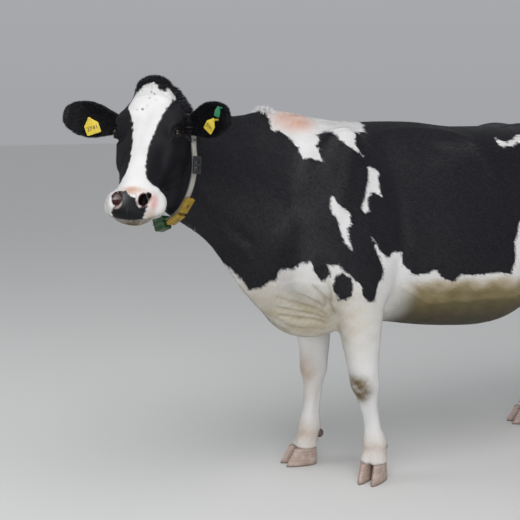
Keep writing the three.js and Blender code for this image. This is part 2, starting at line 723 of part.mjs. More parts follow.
// Each tag: its place along and up the ear, width, height and how far it leans in its own plane.
const tags = [
  ['ear_tag_right_yellow', 'ear_right', 146, 2, 54, 58, 18, coat.yellow],
  ['ear_tag_left_yellow', 'ear_left', 174, -4, 44, 50, -36, coat.yellow],
  ['ear_tag_left_green', 'ear_left', 206, 32, 26, 32, -16, coat.green],
];
for (const [name, onEar, along, upwards, width, height, lean, colour] of tags) {
  const tag = earTag(ears[onEar].frame, along, upwards, width, height, lean);
  add(name, largest(tag.subtract(ears[onEar].room)), colour);
}

// ---------------------------------------------------------------- legs and feet

// Direction of the toes of a leg and of its outer side at the ground.
function footFrame(leg) {
  const turn = legTurn(leg, 0);
  const [x, y] = leg.lineAt(60);
  return {
    middle: new THREE.Vector3(x, y, 0),
    toe: new THREE.Vector3(-Math.cos(turn), -Math.sin(turn), 0),
    across: new THREE.Vector3(-Math.sin(turn), Math.cos(turn), 0),
  };
}

// Oval rings of a leg between two heights, each turned as the leg is there.
function legRings(leg, top, bottom, around) {
  const heights = leg.sections.map(([z]) => z).filter((z) => z < top - 12 && z > bottom + 12);
  return [top, ...heights, bottom].map((z) => {
    const [front, back, side] = leg.sectionAt(z);
    const [lineX, lineY] = leg.lineAt(z);
    const turn = legTurn(leg, z);
    return Array.from({ length: around }, (_, j) => {
      const angle = (j + 0.5) / around * 2 * Math.PI;
      const [c, sn] = [Math.cos(angle), Math.sin(angle)];
      const depth = c < 0 ? front : back;
      const reach = (Math.abs(c / depth) ** LEG_POWER + Math.abs(sn / side) ** LEG_POWER)
        ** (-1 / LEG_POWER);
      return new THREE.Vector3(reach * c, reach * sn, z)
        .applyAxisAngle(up, turn).add(new THREE.Vector3(lineX, lineY, 0));
    });
  });
}

// One claw: a stack of pointed ovals that lean forward from the coronet to the flat sole.
function claw(leg, which) {
  const { middle, toe, across } = footFrame(leg);
  const rings = [];
  for (const z of FOOT.levels) {
    const share = z / FOOT.coronet;
    const rounding = z ? 0 : FOOT.soleRound;
    const toeReach = FOOT.toe - (FOOT.toe - FOOT.coronetFront) * share - rounding;
    const heelReach = FOOT.heel + 4 * Math.sin(Math.PI * share) - rounding;
    const half = FOOT.clawWidth / 2 - FOOT.taper * share - rounding;
    const ring = [];
    for (let j = 0; j < FOOT.around; j++) {
      const angle = j / FOOT.around * 2 * Math.PI;
      const [c, sn] = [Math.cos(angle), Math.sin(angle)];
      const reach = (c > 0 ? toeReach : heelReach) * Math.sign(c) * Math.abs(c) ** 0.9;
      const side = half * sn * (c > 0 ? 1 - 0.35 * c * c : 1);
      ring.push(middle.clone().addScaledVector(toe, reach)
        .addScaledVector(across, which * (FOOT.clawWidth + FOOT.cleft) / 2 + side)
        .addScaledVector(up, z));
    }
    rings.push(ring);
  }
  return closedLoft(rings);
}

const thighs = [];
for (const [name, leg] of Object.entries(LEGS)) {
  const hind = leg.sections === HINDLEG;
  const xs = leg.line.map(([x]) => x);
  const low = [Math.min(...xs) - 270, leg.side < 0 ? -360 : -30, 0];
  const high = [Math.max(...xs) + 270, leg.side < 0 ? 30 : 360, hind ? 990 : 830];
  const bend = hind ? rear.hock : front.knee;
  const space = legRoom(leg, 0);
  const coarse = surfaceOf(body, [[low[0], low[1], bend - 120], high], hind ? [62, 48, 74] : [48, 40, 68]);
  const above = block([-500, -600, bend + GAP / 2], [2000, 600, 1200]);
  const upper = largest(solid(coarse).intersect(space).intersect(above));
  const lower = closedLoft(legRings(leg, bend - GAP / 2, FOOT.coronet + GAP, 10));
  if (hind) thighs.push(upper);
  add(`leg_${name}_${hind ? 'thigh' : 'forearm'}`, upper, coat.white);
  add(`leg_${name}_${hind ? 'shank' : 'cannon'}`, lower, coat.white);
  const { toe, across } = footFrame(leg);
  const lowerRoom = room(lower);
  for (const [side, which] of [['inner', -leg.side], ['outer', leg.side]]) {
    add(`claw_${name}_${side}`, claw(leg, which), coat.horn);
    const spot = new THREE.Vector3(...leg.lineAt(DEWCLAW.height), DEWCLAW.height)
      .addScaledVector(toe, -DEWCLAW.behind).addScaledVector(across, which * DEWCLAW.apart);
    const spur = new THREE.SphereGeometry(DEWCLAW.radius, 6, 4).scale(1, 1, DEWCLAW.stretch)
      .translate(spot.x, spot.y, spot.z);
    add(`dewclaw_${name}_${side}`, largest(solid(spur).subtract(lowerRoom)), coat.horn);
  }
}

// ---------------------------------------------------------------- udder and teats

const trunkRoom = room(trunkSolid);
let udderSolid = solid(surfaceOf(udder, [[1020, -240, 480], [1640, 240, 960]], [112, 88, 98]))
  .intersect(block([900, -400, 300], [1800, 400, rear.top - 20])).subtract(trunkRoom);
for (const thigh of thighs) udderSolid = udderSolid.subtract(room(thigh));
udderSolid = largest(udderSolid);
const udderRoom = room(udderSolid);
const teatOutline = UDDER.teatOutline.map(([r, z]) => new THREE.Vector2(r, z));
for (const [name, place] of Object.entries(UDDER.teats)) {
  const shape = new THREE.LatheGeometry(teatOutline, 7).rotateX(Math.PI / 2).translate(...place);
  add(name, largest(solid(shape).subtract(udderRoom)), coat.skin);
}
add('udder', udderSolid, coat.skin);

// ---------------------------------------------------------------- tail

// Round sections along a path, each with its own radius.
function taper(points, radii, steps, around) {
  const path = new THREE.CatmullRomCurve3(points.map((p) => new THREE.Vector3(...p)));
  const radiusAt = profile(radii.map((r, i) => [i / (radii.length - 1), r]));
  const rings = [];
  for (let i = 0; i <= steps; i++) {
    const t = i / steps;
    const centre = path.getPoint(t);
    const tangent = path.getTangent(t);
    const side = new THREE.Vector3(0, 1, 0);
    const other = new THREE.Vector3().crossVectors(tangent, side).normalize();
    const [radius] = radiusAt(t);
    const ring = [];
    for (let j = 0; j < around; j++) {
      const angle = j / around * 2 * Math.PI;
      ring.push(centre.clone().addScaledVector(side, radius * Math.cos(angle))
        .addScaledVector(other, radius * Math.sin(angle)));
    }
    rings.push(ring);
  }
  return closedLoft(rings);
}

const tail = taper(TAIL.path, TAIL.radii, 12, 8).subtract(trunkRoom);
add('tail', largest(tail), coat.black);
add('tail_switch', taper(TAIL.switchPath, TAIL.switchRadii, 7, 8), coat.white);

// ---------------------------------------------------------------- collar

// The collar lies in a plane behind the jaw: over the crest of the neck and hanging below the
// throat.
const collarMiddle = new THREE.Vector3((COLLAR.top[0] + COLLAR.bottom[0]) / 2, 0,
  (COLLAR.top[1] + COLLAR.bottom[1]) / 2);
const neckAhead = new THREE.Vector3(-1, 2 * NECK_BEND * collarMiddle.x, 0).normalize();
collarMiddle.y = spine(collarMiddle.x);
const collarUp = up.clone().multiplyScalar(COLLAR.top[1] - COLLAR.bottom[1])
  .addScaledVector(neckAhead, COLLAR.bottom[0] - COLLAR.top[0]).normalize();
const collarLeft = new THREE.Vector3(-neckAhead.y, neckAhead.x, 0);
const collarAxis = new THREE.Vector3().crossVectors(collarLeft, collarUp);

const collarDirection = (angle) => collarUp.clone().multiplyScalar(Math.cos(angle))
  .addScaledVector(collarLeft, Math.sin(angle));

// Distance from the middle of the collar to the inside of the strap, at an angle from the crest.
function collarReach(angle) {
  const direction = collarDirection(angle);
  let reach = 40;
  const inside = (r) => {
    const p = collarMiddle.clone().addScaledVector(direction, r);
    return body(p.x, p.y, p.z) < 0;
  };
  while (reach < 400 && inside(reach)) reach += 1;
  const hang = 1 / Math.hypot(Math.sin(angle) / COLLAR.sag[0], Math.cos(angle) / COLLAR.sag[1]);
  const lower = Math.cos(angle) < 0.2 ? hang : 0;
  return Math.max(reach + COLLAR.ease, lower);
}

const strapAngle = (i) => i / COLLAR.steps * 2 * Math.PI;
const reaches = Array.from({ length: COLLAR.steps }, (_, i) => collarReach(strapAngle(i)));
const smoothReach = reaches.map((r, i) => Math.max(r,
  (reaches[(i + 1) % COLLAR.steps] + reaches[(i + COLLAR.steps - 1) % COLLAR.steps]) / 2));

function strap() {
  const geometry = new THREE.BufferGeometry();
  const points = [];
  const index = [];
  for (let i = 0; i < COLLAR.steps; i++) {
    const direction = collarDirection(strapAngle(i));
    for (const [deep, wide] of [[0, -1], [1, -1], [1, 1], [0, 1]]) {
      const p = collarMiddle.clone().addScaledVector(direction, smoothReach[i] + deep * COLLAR.thickness)
        .addScaledVector(collarAxis, wide * COLLAR.width / 2);
      points.push(p.x, p.y, p.z);
    }
    for (let j = 0; j < 4; j++) {
      const a = 4 * i + j;
      const b = 4 * i + (j + 1) % 4;
      const [c, d] = [a, b].map((v) => (v + 4) % (4 * COLLAR.steps));
      index.push(a, b, c, b, d, c);
    }
  }
  geometry.setAttribute('position', new THREE.Float32BufferAttribute(points, 3));
  geometry.setIndex(index);
  const shape = solid(geometry);
  if (shape.volume() > 0) return shape;
  geometry.setIndex(index.reverse());
  return solid(geometry);
}

const strapSolid = largest([neckRoom, headRoom, ears.ear_left.room, ears.ear_right.room]
  .reduce((left, taken) => left.subtract(taken), strap()));
add('collar_strap', strapSolid, coat.strap);

// A piece carried on the strap: its size along, across and off the strap.
function onStrap(angle, [along, across, off], tilt, stand) {
  const reachAt = profile(smoothReach.map((r, i) => [strapAngle(i), r]));
  const at = (a) => collarMiddle.clone()
    .addScaledVector(collarDirection(a), reachAt(a)[0] + COLLAR.thickness);
  const step = 0.12;
  const run = at(angle + step).sub(at(angle - step)).normalize();
  const outward = new THREE.Vector3().crossVectors(collarAxis, run).normalize();
  if (outward.dot(collarDirection(angle)) < 0) outward.negate();
  for (const way of [run, outward]) way.applyAxisAngle(collarAxis, radians(tilt));
  const frame = new THREE.Matrix4().makeBasis(run, collarAxis, outward)
    .setPosition(at(angle).addScaledVector(outward, off / 2 + stand));
  const box = new RoundedBoxGeometry(along, across, off, 1, COLLAR.round);
  if (frame.determinant() < 0) frame.scale(new THREE.Vector3(1, -1, 1));
  return largest(solid(box.applyMatrix4(frame)).subtract(room(strapSolid)).subtract(neckRoom));
}

for (const [name, angle, size, colour, tilt, stand] of COLLAR.pieces) {
  add(name, onStrap(angle, size, tilt, stand), coat[colour]);
}

// ---------------------------------------------------------------- placing

// The origin is set at the bottom centre of the whole animal's box.
const whole = new THREE.Box3().setFromObject(animal);
const centre = whole.getCenter(new THREE.Vector3());
animal.position.set(-centre.x, -centre.y, -whole.min.z);

export default animal;
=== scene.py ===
# A Holstein-Friesian dairy cow, life size, standing still with its head turned to its left.
# Metres; the tail is toward +X and the cow's left side toward -Y. The parts follow in the order
# in which the animal is put together: shape, hide, markings, coat, eyes, claws and what it wears.

import math
from functools import partial

import bmesh
import bpy
import numpy as np
from mathutils import Matrix, Vector


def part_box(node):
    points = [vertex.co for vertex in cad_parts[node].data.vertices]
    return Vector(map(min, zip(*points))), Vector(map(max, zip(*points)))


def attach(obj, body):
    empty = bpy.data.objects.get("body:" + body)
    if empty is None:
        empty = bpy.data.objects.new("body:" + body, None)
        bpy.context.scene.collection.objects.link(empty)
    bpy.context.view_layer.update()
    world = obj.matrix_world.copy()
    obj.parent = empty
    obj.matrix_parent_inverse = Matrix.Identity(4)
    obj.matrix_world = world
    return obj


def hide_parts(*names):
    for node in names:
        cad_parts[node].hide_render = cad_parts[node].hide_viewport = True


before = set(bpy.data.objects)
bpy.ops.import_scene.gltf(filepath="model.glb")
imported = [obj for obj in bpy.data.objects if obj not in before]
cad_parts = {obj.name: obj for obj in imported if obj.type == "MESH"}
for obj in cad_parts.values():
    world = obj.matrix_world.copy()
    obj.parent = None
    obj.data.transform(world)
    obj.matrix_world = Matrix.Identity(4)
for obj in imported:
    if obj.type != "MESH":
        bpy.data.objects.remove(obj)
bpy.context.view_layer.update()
draw = np.random.default_rng(7)

# ---------------------------------------------------------------- the head's own measures

# The cow is shaped in millimetres: x rearwards from the point of the shoulder, y from the middle
# of the chest, z from the ground. The head has its own three: along the face from the crown, to
# the cow's left, and off the face. The left eyeball says where these lie in the frame.
CROWN = np.array([-613.0, -140.0, 1592.0])
HEAD_TURN = math.radians(51)
FACE_SLOPE = math.radians(36)
EYE = np.array([172.0, 108.0, -46.0])
UP = np.array([0.0, 0.0, 1.0])
AHEAD = np.array([-math.cos(HEAD_TURN), -math.sin(HEAD_TURN), 0.0])
HEAD_LEFT = np.array([-AHEAD[1], AHEAD[0], 0.0])
HEAD_AXES = np.stack([
    AHEAD * math.sin(FACE_SLOPE) - UP * math.cos(FACE_SLOPE),
    HEAD_LEFT,
    AHEAD * math.cos(FACE_SLOPE) + UP * math.sin(FACE_SLOPE),
])


def head_place(measures):
    return CROWN + np.asarray(measures, float) @ HEAD_AXES


def head_measures(points):
    return (points - CROWN) @ HEAD_AXES.T


eye_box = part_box("eye_left")
ORIGIN = 500 * np.array(eye_box[0] + eye_box[1]) - head_place(EYE)


def in_frame(points):
    return (np.asarray(points, float) + ORIGIN) / 1000


# ---------------------------------------------------------------- floor, light and camera

# A plain pale studio floor under a large soft light from above and behind the camera, with
# weaker ones from the side and from low down in front. The camera stands a little over the level
# of the back, ahead of the left shoulder.
FLOOR_COLOUR = (0.62, 0.62, 0.61, 1)
SKY = [(0.0, (0.66, 0.67, 0.70, 1)), (0.7, (0.95, 0.97, 1.0, 1))]
SKY_STRENGTH = 0.56
# name, place, where it points, size and power
LIGHTS = [
    ("light_above", (-1.6, -2.6, 5.2), (-0.2, 0.0, 0.9), 3.6, 150),
    ("light_side", (-4.6, 1.8, 3.2), (-0.4, 0.0, 1.0), 2.6, 40),
    ("light_low", (-2.4, -5.2, 1.3), (0.1, 0.0, 0.45), 3.2, 103),
]
CAMERA_PLACE = (-2077, -3863, 1560)
CAMERA_HEADING = -27
CAMERA_PITCH = 5.3
CAMERA_SHIFT = -0.121
LENS = 76.2


def in_scene(name, data):
    made = bpy.data.objects.new(name, data)
    bpy.context.scene.collection.objects.link(made)
    return made


def finished_mesh(shape, name):
    mesh = bpy.data.meshes.new(name)
    shape.to_mesh(mesh)
    shape.free()
    return mesh


def new_material(name, **finish):
    """A material, its node tree and its shader, with what is the same all over already set."""
    made = bpy.data.materials.new(name)
    made.use_nodes = True
    shader = made.node_tree.nodes["Principled BSDF"]
    for key, value in finish.items():
        shader.inputs[key.replace("_", " ")].default_value = value
    return made, made.node_tree, shader


floor_shape = bmesh.new()
bmesh.ops.create_grid(floor_shape, x_segments=2, y_segments=2, size=30)
floor = in_scene("floor", finished_mesh(floor_shape, "floor"))
floor.data.materials.append(new_material("floor", Base_Color=FLOOR_COLOUR, Roughness=0.9)[0])

world = bpy.data.worlds.new("studio")
bpy.context.scene.world = world
world.use_nodes = True
world_nodes = world.node_tree.nodes
world_links = world.node_tree.links
background = world_nodes["Background"]
looking = world_nodes.new("ShaderNodeTexCoord")
height = world_nodes.new("ShaderNodeSeparateXYZ")
sky = world_nodes.new("ShaderNodeValToRGB")
world_links.new(looking.outputs["Generated"], height.inputs[0])
world_links.new(height.outputs["Z"], sky.inputs[0])
world_links.new(sky.outputs[0], background.inputs["Color"])
for stop, (place, colour) in zip(sky.color_ramp.elements, SKY):
    stop.position, stop.color = place, colour
background.inputs["Strength"].default_value = SKY_STRENGTH


def soft_light(name, place, target, size, power):
    lamp = bpy.data.lights.new(name, "AREA")
    lamp.shape = "DISK"
    lamp.size = size
    lamp.energy = power
    holder = in_scene(name, lamp)
    holder.location = place
    holder.rotation_euler = (Vector(target) - Vector(place)).to_track_quat("-Z", "Y").to_euler()


for light in LIGHTS:
    soft_light(*light)

camera = in_scene("camera", bpy.data.cameras.new("camera"))
camera.location = in_frame(CAMERA_PLACE)
camera.rotation_euler = (math.radians(90 - CAMERA_PITCH), 0, math.radians(CAMERA_HEADING))
camera.data.lens = LENS
camera.data.shift_y = CAMERA_SHIFT
bpy.context.scene.camera = camera
bpy.context.scene.view_settings.view_transform = "Standard"

# ---------------------------------------------------------------- the shape of the body

# The flesh as one rounded form: trunk and neck as ovals set along the spine, the bones and
# muscles that stand out from them, four legs as stacked ovals, the udder, teats and tail.
# Distances are in millimetres, negative inside, and shapes run softly into each other.
NECK_BEND = 0.00042
# place, top line, underline, half width, height of the widest level, roundness above and below
TORSO = [
    (-640, 1530, 1160, 88, 0.52, 2.0, 2.0),
    (-500, 1510, 1092, 98, 0.52, 1.9, 1.8),
    (-350, 1482, 985, 118, 0.52, 1.8, 1.45),
    (-210, 1482, 812, 152, 0.50, 1.8, 1.45),
    (-90, 1500, 688, 186, 0.47, 1.8, 1.6),
    (20, 1492, 604, 218, 0.45, 1.8, 1.8),
    (120, 1472, 598, 244, 0.43, 1.8, 2.0),
    (300, 1452, 632, 268, 0.42, 1.9, 2.1),
    (450, 1452, 612, 290, 0.42, 2.0, 2.2),
    (600, 1448, 586, 318, 0.42, 2.1, 2.2),
    (760, 1430, 568, 344, 0.42, 2.2, 2.2),
    (900, 1420, 562, 356, 0.42, 2.3, 2.2),
    (1020, 1416, 580, 350, 0.42, 2.4, 2.1),
    (1140, 1426, 650, 334, 0.42, 2.3, 2.1),
    (1260, 1440, 722, 312, 0.42, 2.2, 2.1),
    (1400, 1444, 764, 284, 0.42, 2.2, 2.2),
    (1550, 1436, 862, 232, 0.42, 2.1, 2.2),
    (1680, 1404, 980, 172, 0.45, 2.1, 2.2),
    (1800, 1370, 1050, 150, 0.45, 2.1, 2.2),
]
# height, reach to the front, to the back and to each side
FORELEG = [
    (960, 110, 130, 60), (860, 118, 138, 74), (760, 104, 122, 78), (660, 86, 98, 71),
    (560, 74, 80, 62), (480, 64, 68, 56), (430, 60, 60, 57), (392, 58, 58, 57),
    (350, 44, 46, 45), (295, 36, 42, 38), (225, 33, 40, 35), (185, 40, 48, 43),
    (155, 46, 54, 50), (122, 44, 48, 48), (96, 50, 46, 52), (50, 58, 44, 56),
]
HINDLEG = [
    (1080, 190, 180, 84), (960, 212, 196, 104), (860, 206, 198, 108), (770, 172, 176, 92),
    (690, 128, 138, 72), (620, 90, 98, 56), (560, 70, 84, 50), (520, 62, 78, 49),
    (460, 52, 62, 45), (380, 42, 48, 37), (290, 38, 44, 36), (215, 38, 46, 39),
    (160, 46, 56, 50), (122, 45, 50, 48), (96, 50, 46, 52), (50, 58, 44, 56),
]
# middle line of each leg from the body down, its side, and how far its toes turn outwards
LEGS = {
    "front_left": (FORELEG, -1, 38, [
        (214, -196, 960), (226, -196, 740), (270, -184, 410), (324, -178, 165), (322, -178, 60)]),
    "front_right": (FORELEG, 1, 2, [
        (214, 190, 960), (230, 184, 740), (226, 152, 410), (192, 132, 165), (170, 128, 60)]),
    "rear_left": (HINDLEG, -1, 12, [
        (1470, -148, 1080), (1482, -164, 860), (1552, -166, 690), (1638, -158, 540),
        (1624, -158, 390), (1612, -164, 165), (1590, -166, 60)]),
    "rear_right": (HINDLEG, 1, 12, [
        (1464, 148, 1080), (1462, 164, 860), (1496, 166, 690), (1526, 154, 540),
        (1490, 152, 390), (1444, 156, 165), (1420, 158, 60)]),
}
# middle, reach and softness; each is made on both sides
SWELLINGS = {
    "shoulder blade": ((165, 176, 1150), (150, 70, 290), 110),
    "point of the shoulder": ((24, 178, 930), (100, 66, 150), 100),
    "upper arm": ((220, 206, 900), (140, 66, 140), 90),
    "brisket": ((105, 60, 700), (150, 84, 94), 80),
    "hip bone": ((1236, 226, 1368), (92, 58, 54), 90),
    "edge of the loin": ((980, 180, 1336), (270, 84, 56), 120),
    "thurl": ((1440, 216, 1120), (170, 66, 210), 100),
    "pin bone": ((1640, 140, 1290), (60, 46, 58), 70),
    "stifle": ((1322, 224, 830), (96, 58, 110), 80),
}
TAIL_PATH = [(1550, 0, 1380), (1630, 0, 1394), (1690, 0, 1358), (1716, 0, 1262),
             (1726, 0, 1100), (1730, -4, 890), (1732, -8, 690), (1732, -9, 640)]
TAIL_RADII = (46, 42, 34, 27, 21, 17, 15, 13)
# middle and reach of each quarter of the udder, the front one first
QUARTERS = [((1300, 68, 720), (124, 96, 122)), ((1450, 66, 730), (126, 96, 170))]
TEATS = [(1290, -64, 612), (1290, 64, 612), (1428, -52, 580), (1428, 52, 580)]
TEAT_REACH, UDDER_TOP = (17, 17, 66), 900
TORSO_START, RUMP_END = -600, 1690
FORELEG_SOFT, HINDLEG_SOFT, HEAD_SOFT, EAR_SOFT, REAR_SOFT = 46, 70, 56, 14, 16
SOLE_TOP = 66
TOES_TURN_FROM, TOES_TURN_OVER = 560, 300


def profile(rows):
    table = np.array(sorted(rows), float)
    places, values = table[:, 0], table[:, 1:]
    before = np.maximum(np.arange(len(places)) - 1, 0)
    after = np.minimum(np.arange(len(places)) + 1, len(places) - 1)
    slopes = (values[after] - values[before]) / (places[after] - places[before])[:, None]

    def at(place):
        i = np.clip(np.searchsorted(places, place) - 1, 0, len(places) - 2)
        span = (places[i + 1] - places[i])[:, None]
        t = np.clip((place - places[i])[:, None] / span, 0, 1)
        rise = (t ** 3 - 2 * t * t + t) * span * slopes[i]
        fall = (t ** 3 - t * t) * span * slopes[i + 1]
        ends = (2 * t ** 3 - 3 * t * t + 1) * values[i] + (3 * t * t - 2 * t ** 3) * values[i + 1]
        return (ends + rise + fall).T

    return at


def join(a, b, soft):
    near = np.maximum(soft - np.abs(a - b), 0) / soft
    return np.minimum(a, b) - near * near * soft / 4


def trim(a, b, soft):
    return -join(-a, -b, soft)


def smooth(value, low, high):
    """An eased rise from 0 at the low value to 1 at the high one."""
    t = np.clip((value - low) / (high - low), 0, 1)
    return t * t * (3 - 2 * t)


def oval(u, v, a, b, power):
    scale = (np.abs(u / a) ** power + np.abs(v / b) ** power) ** (1 / power)
    return np.hypot(u, v) * (1 - 1 / np.maximum(scale, 1e-3))


def ellipsoid(points, middle, reach):
    reach = np.asarray(reach, float)
    steps = (points - np.asarray(middle, float)) / reach
    near = np.linalg.norm(steps, axis=1)
    steep = np.linalg.norm(steps / reach, axis=1)
    return near * (near - 1) / np.maximum(steep, 1e-9)


def join_where(nearest, points, close, shape, soft):
    """Runs another shape into what is there, at the places close enough to feel it."""
    nearest[close] = join(nearest[close], shape(points[close]), soft)


def both_sides(points):
    folded = points.copy()
    folded[:, 1] = np.abs(folded[:, 1])
    return folded


torso_at = profile(TORSO)
legs = {
    name: {"hind": sections is HINDLEG, "side": side, "toes": math.radians(toes),
           "top": sections[0][0], "section_at": profile(sections),
           "line_at": profile([(z, x, y) for x, y, z in line])}
    for name, (sections, side, toes, line) in LEGS.items()
}


def spine(x):
    return np.where(x < 0, -NECK_BEND * x * x, 0.0)


def torso(points):
    x, y, z = points.T
    top, bottom, half, belt, above, below = torso_at(x)
    turn = np.where(x < 0, np.cos(np.arctan(2 * NECK_BEND * x)), 1)
    middle = bottom + belt * (top - bottom)
    high = z > middle
    shell = oval((y - spine(x)) * turn, z - middle, half,
                 np.where(high, top - middle, middle - bottom), np.where(high, above, below))
    buttocks = x - RUMP_END + 0.10 * np.abs(z - 1230)
    return trim(trim(shell, buttocks, 150), TORSO_START - x, 80)


def leg_turn(leg, z):
    return -leg["side"] * leg["toes"] * smooth(TOES_TURN_FROM - z, 0, TOES_TURN_OVER)


def leg_own(leg, points):
    x, y, z = points.T
    line_x, line_y = leg["line_at"](z)
    turn = leg_turn(leg, z)
    ahead = (x - line_x) * np.cos(turn) + (y - line_y) * np.sin(turn)
    across = (y - line_y) * np.cos(turn) - (x - line_x) * np.sin(turn)
    return ahead, across


def leg_shape(leg, points):
    front, back, side = leg["section_at"](points[:, 2])
    ahead, across = leg_own(leg, points)
    shell = oval(ahead, across, np.where(ahead < 0, front, back), side, 2.2)
    return trim(trim(shell, points[:, 2] - leg["top"], 60), SOLE_TOP - points[:, 2], 6)


def along_path(points, path):
    """Distance to a path, and the share of its length at the nearest place."""
    path = np.asarray(path, float)
    best = np.full(len(points), 1e9)
    share = np.zeros(len(points))
    for i, (start, end) in enumerate(zip(path[:-1], path[1:])):
        run = end - start
        t = np.clip((points - start) @ run / (run @ run), 0, 1)
        far = np.linalg.norm(points - start - t[:, None] * run, axis=1)
        closer = far < best
        best[closer] = far[closer]
        share[closer] = ((i + t) / (len(path) - 1))[closer]
    return best, share


tail_at = profile([(i, *place, radius) for i, (place, radius)
                   in enumerate(zip(TAIL_PATH, TAIL_RADII))])
TAIL_STEPS = 42
tail_line = tail_at(np.linspace(0, len(TAIL_PATH) - 1, TAIL_STEPS + 1)).T


def tail_shape(points):
    far, share = along_path(points, tail_line[:, :3])
    return far - np.interp(share * TAIL_STEPS, np.arange(TAIL_STEPS + 1), tail_line[:, 3])


def udder_shape(points):
    folded = both_sides(points)
    quarters = join(*[ellipsoid(folded, *quarter) for quarter in QUARTERS], 50)
    cleft = np.exp(-(points[:, 1] / 16) ** 2) * 9
    nearest = np.maximum(quarters + cleft, points[:, 2] - UDDER_TOP)
    for x, y, z in TEATS:
        nearest = join(nearest, ellipsoid(points, (x, y, z + 6), TEAT_REACH), 20)
    return nearest


# ---------------------------------------------------------------- the shape of the head

# The skull as ovals set along the face, with the topknot, brows, cheeks, jaw and muzzle standing
# out. The eyes sit in lidded openings, the nostrils are hollow, and the ears are cupped leaves.
# place along the face, face line, jaw line, half width, widest level, roundness above and below
SKULL = [
    (-60, -40, -150, 56, 0.50, 2.0, 2.0),
    (-10, -6, -176, 78, 0.50, 2.0, 2.0),
    (50, 2, -204, 94, 0.52, 2.1, 2.0),
    (120, 2, -222, 106, 0.58, 2.5, 2.0),
    (180, -2, -226, 106, 0.56, 2.4, 2.1),
    (240, -3, -214, 99, 0.50, 2.2, 2.2),
    (300, -5, -182, 86, 0.48, 2.1, 2.2),
    (360, -9, -152, 76, 0.46, 2.2, 2.3),
    (410, -12, -138, 77, 0.46, 2.4, 2.2),
    (450, -14, -120, 90, 0.46, 2.6, 1.9),
    (490, -22, -112, 95, 0.48, 2.6, 1.8),
    (540, -40, -98, 82, 0.50, 2.4, 1.8),
]
FEATURES = {
    "topknot": ((-4, 0, -22), (50, 70, 51), 26),
    "forehead": ((100, 0, -30), (95, 74, 34), 40),
    "brow": ((150, 95, -36), (58, 33, 30), 28),
    "cheek bone": ((232, 84, -74), (80, 24, 24), 30),
    "jaw muscle": ((196, 78, -148), (84, 40, 72), 34),
    "temple": ((100, 88, -66), (56, 26, 30), 30),
    "ear base": ((92, 88, -126), (52, 32, 50), 44),
    "nose bridge": ((350, 0, -34), (120, 42, 30), 34),
    "nostril wing": ((470, 54, -34), (38, 32, 30), 22),
    "upper lip": ((506, 0, -60), (26, 62, 44), 24),
    "lip corner": ((448, 77, -74), (46, 31, 36), 22),
    "chin": ((462, 0, -98), (50, 46, 24), 20),
}
EYE_AXIS = np.array([0.30, 0.62, 0.72])
EYE_CORNERS = np.array([-0.45, 0.35, -0.80])
EYE_RADIUS = 22.0
LID_OPENING = (17.5, 11.0)
LID_COVER = 3.5
EAR_ROOT = (96, 104, -120)
EAR_LENGTH = 246
EAR_HALF = 67
EAR_WIDEST = 0.6
EAR_LIFT = math.radians(11)
EAR_FORWARD = {1: math.radians(28), -1: math.radians(16)}
NOSTRILS = [((467, 46, -9), (25, 17, 28)), ((450, 60, -15), (16, 9, 16))]

skull_at = profile(SKULL)
eye_axis = EYE_AXIS / np.linalg.norm(EYE_AXIS)
eye_long = EYE_CORNERS - (EYE_CORNERS @ eye_axis) * eye_axis
eye_long /= np.linalg.norm(eye_long)
eye_high = np.cross(eye_axis, eye_long)


def eye_own(folded):
    steps = folded - EYE
    return steps @ eye_axis, steps @ eye_long, steps @ eye_high


def lid_edge(long, high):
    return np.hypot(long / LID_OPENING[0], high / LID_OPENING[1])


def head_shape(points):
    measures = head_measures(points)
    along, off = measures[:, 0], measures[:, 2]
    folded = both_sides(measures)
    left = folded[:, 1]
    face, jaw, half, belt, above, below = skull_at(along)
    middle = jaw + belt * (face - jaw)
    high = off > middle
    nearest = oval(left, off - middle, half,
                   np.where(high, face - middle, middle - jaw), np.where(high, above, below))
    nearest = trim(nearest, along - 505, 46)
    nearest = trim(nearest, -30 - along, 50)
    for middle_point, reach, soft in FEATURES.values():
        nearest = join(nearest, ellipsoid(folded, middle_point, reach), soft)
    depth, long, up_down = eye_own(folded)
    ball = np.sqrt(depth ** 2 + long ** 2 + up_down ** 2) - EYE_RADIUS
    nearest = trim(nearest, 6 - ball, 22)
    nearest = join(nearest, ball - LID_COVER, 9)
    opening = (lid_edge(long, up_down) - 1) * LID_OPENING[1]
    nearest = trim(nearest, -np.maximum(opening, 4 - depth), 3)
    for middle_point, reach in NOSTRILS:
        nearest = trim(nearest, -ellipsoid(folded, middle_point, reach), 6)
    return nearest


def unit(vectors):
    return vectors / np.maximum(np.linalg.norm(vectors, axis=-1, keepdims=True), 1e-9)


def ear_frame(side):
    swing = EAR_FORWARD[side]
    root = head_place((EAR_ROOT[0], side * EAR_ROOT[1], EAR_ROOT[2]))
    level = HEAD_LEFT * side * math.cos(swing) + AHEAD * math.sin(swing)
    outwards = level * math.cos(EAR_LIFT) + UP * math.sin(EAR_LIFT)
    facing = AHEAD * math.cos(swing) - HEAD_LEFT * side * math.sin(swing)
    high = np.cross(outwards, facing) * -side
    return root, outwards, facing, high / np.linalg.norm(high)


ears = {side: ear_frame(side) for side in (1, -1)}


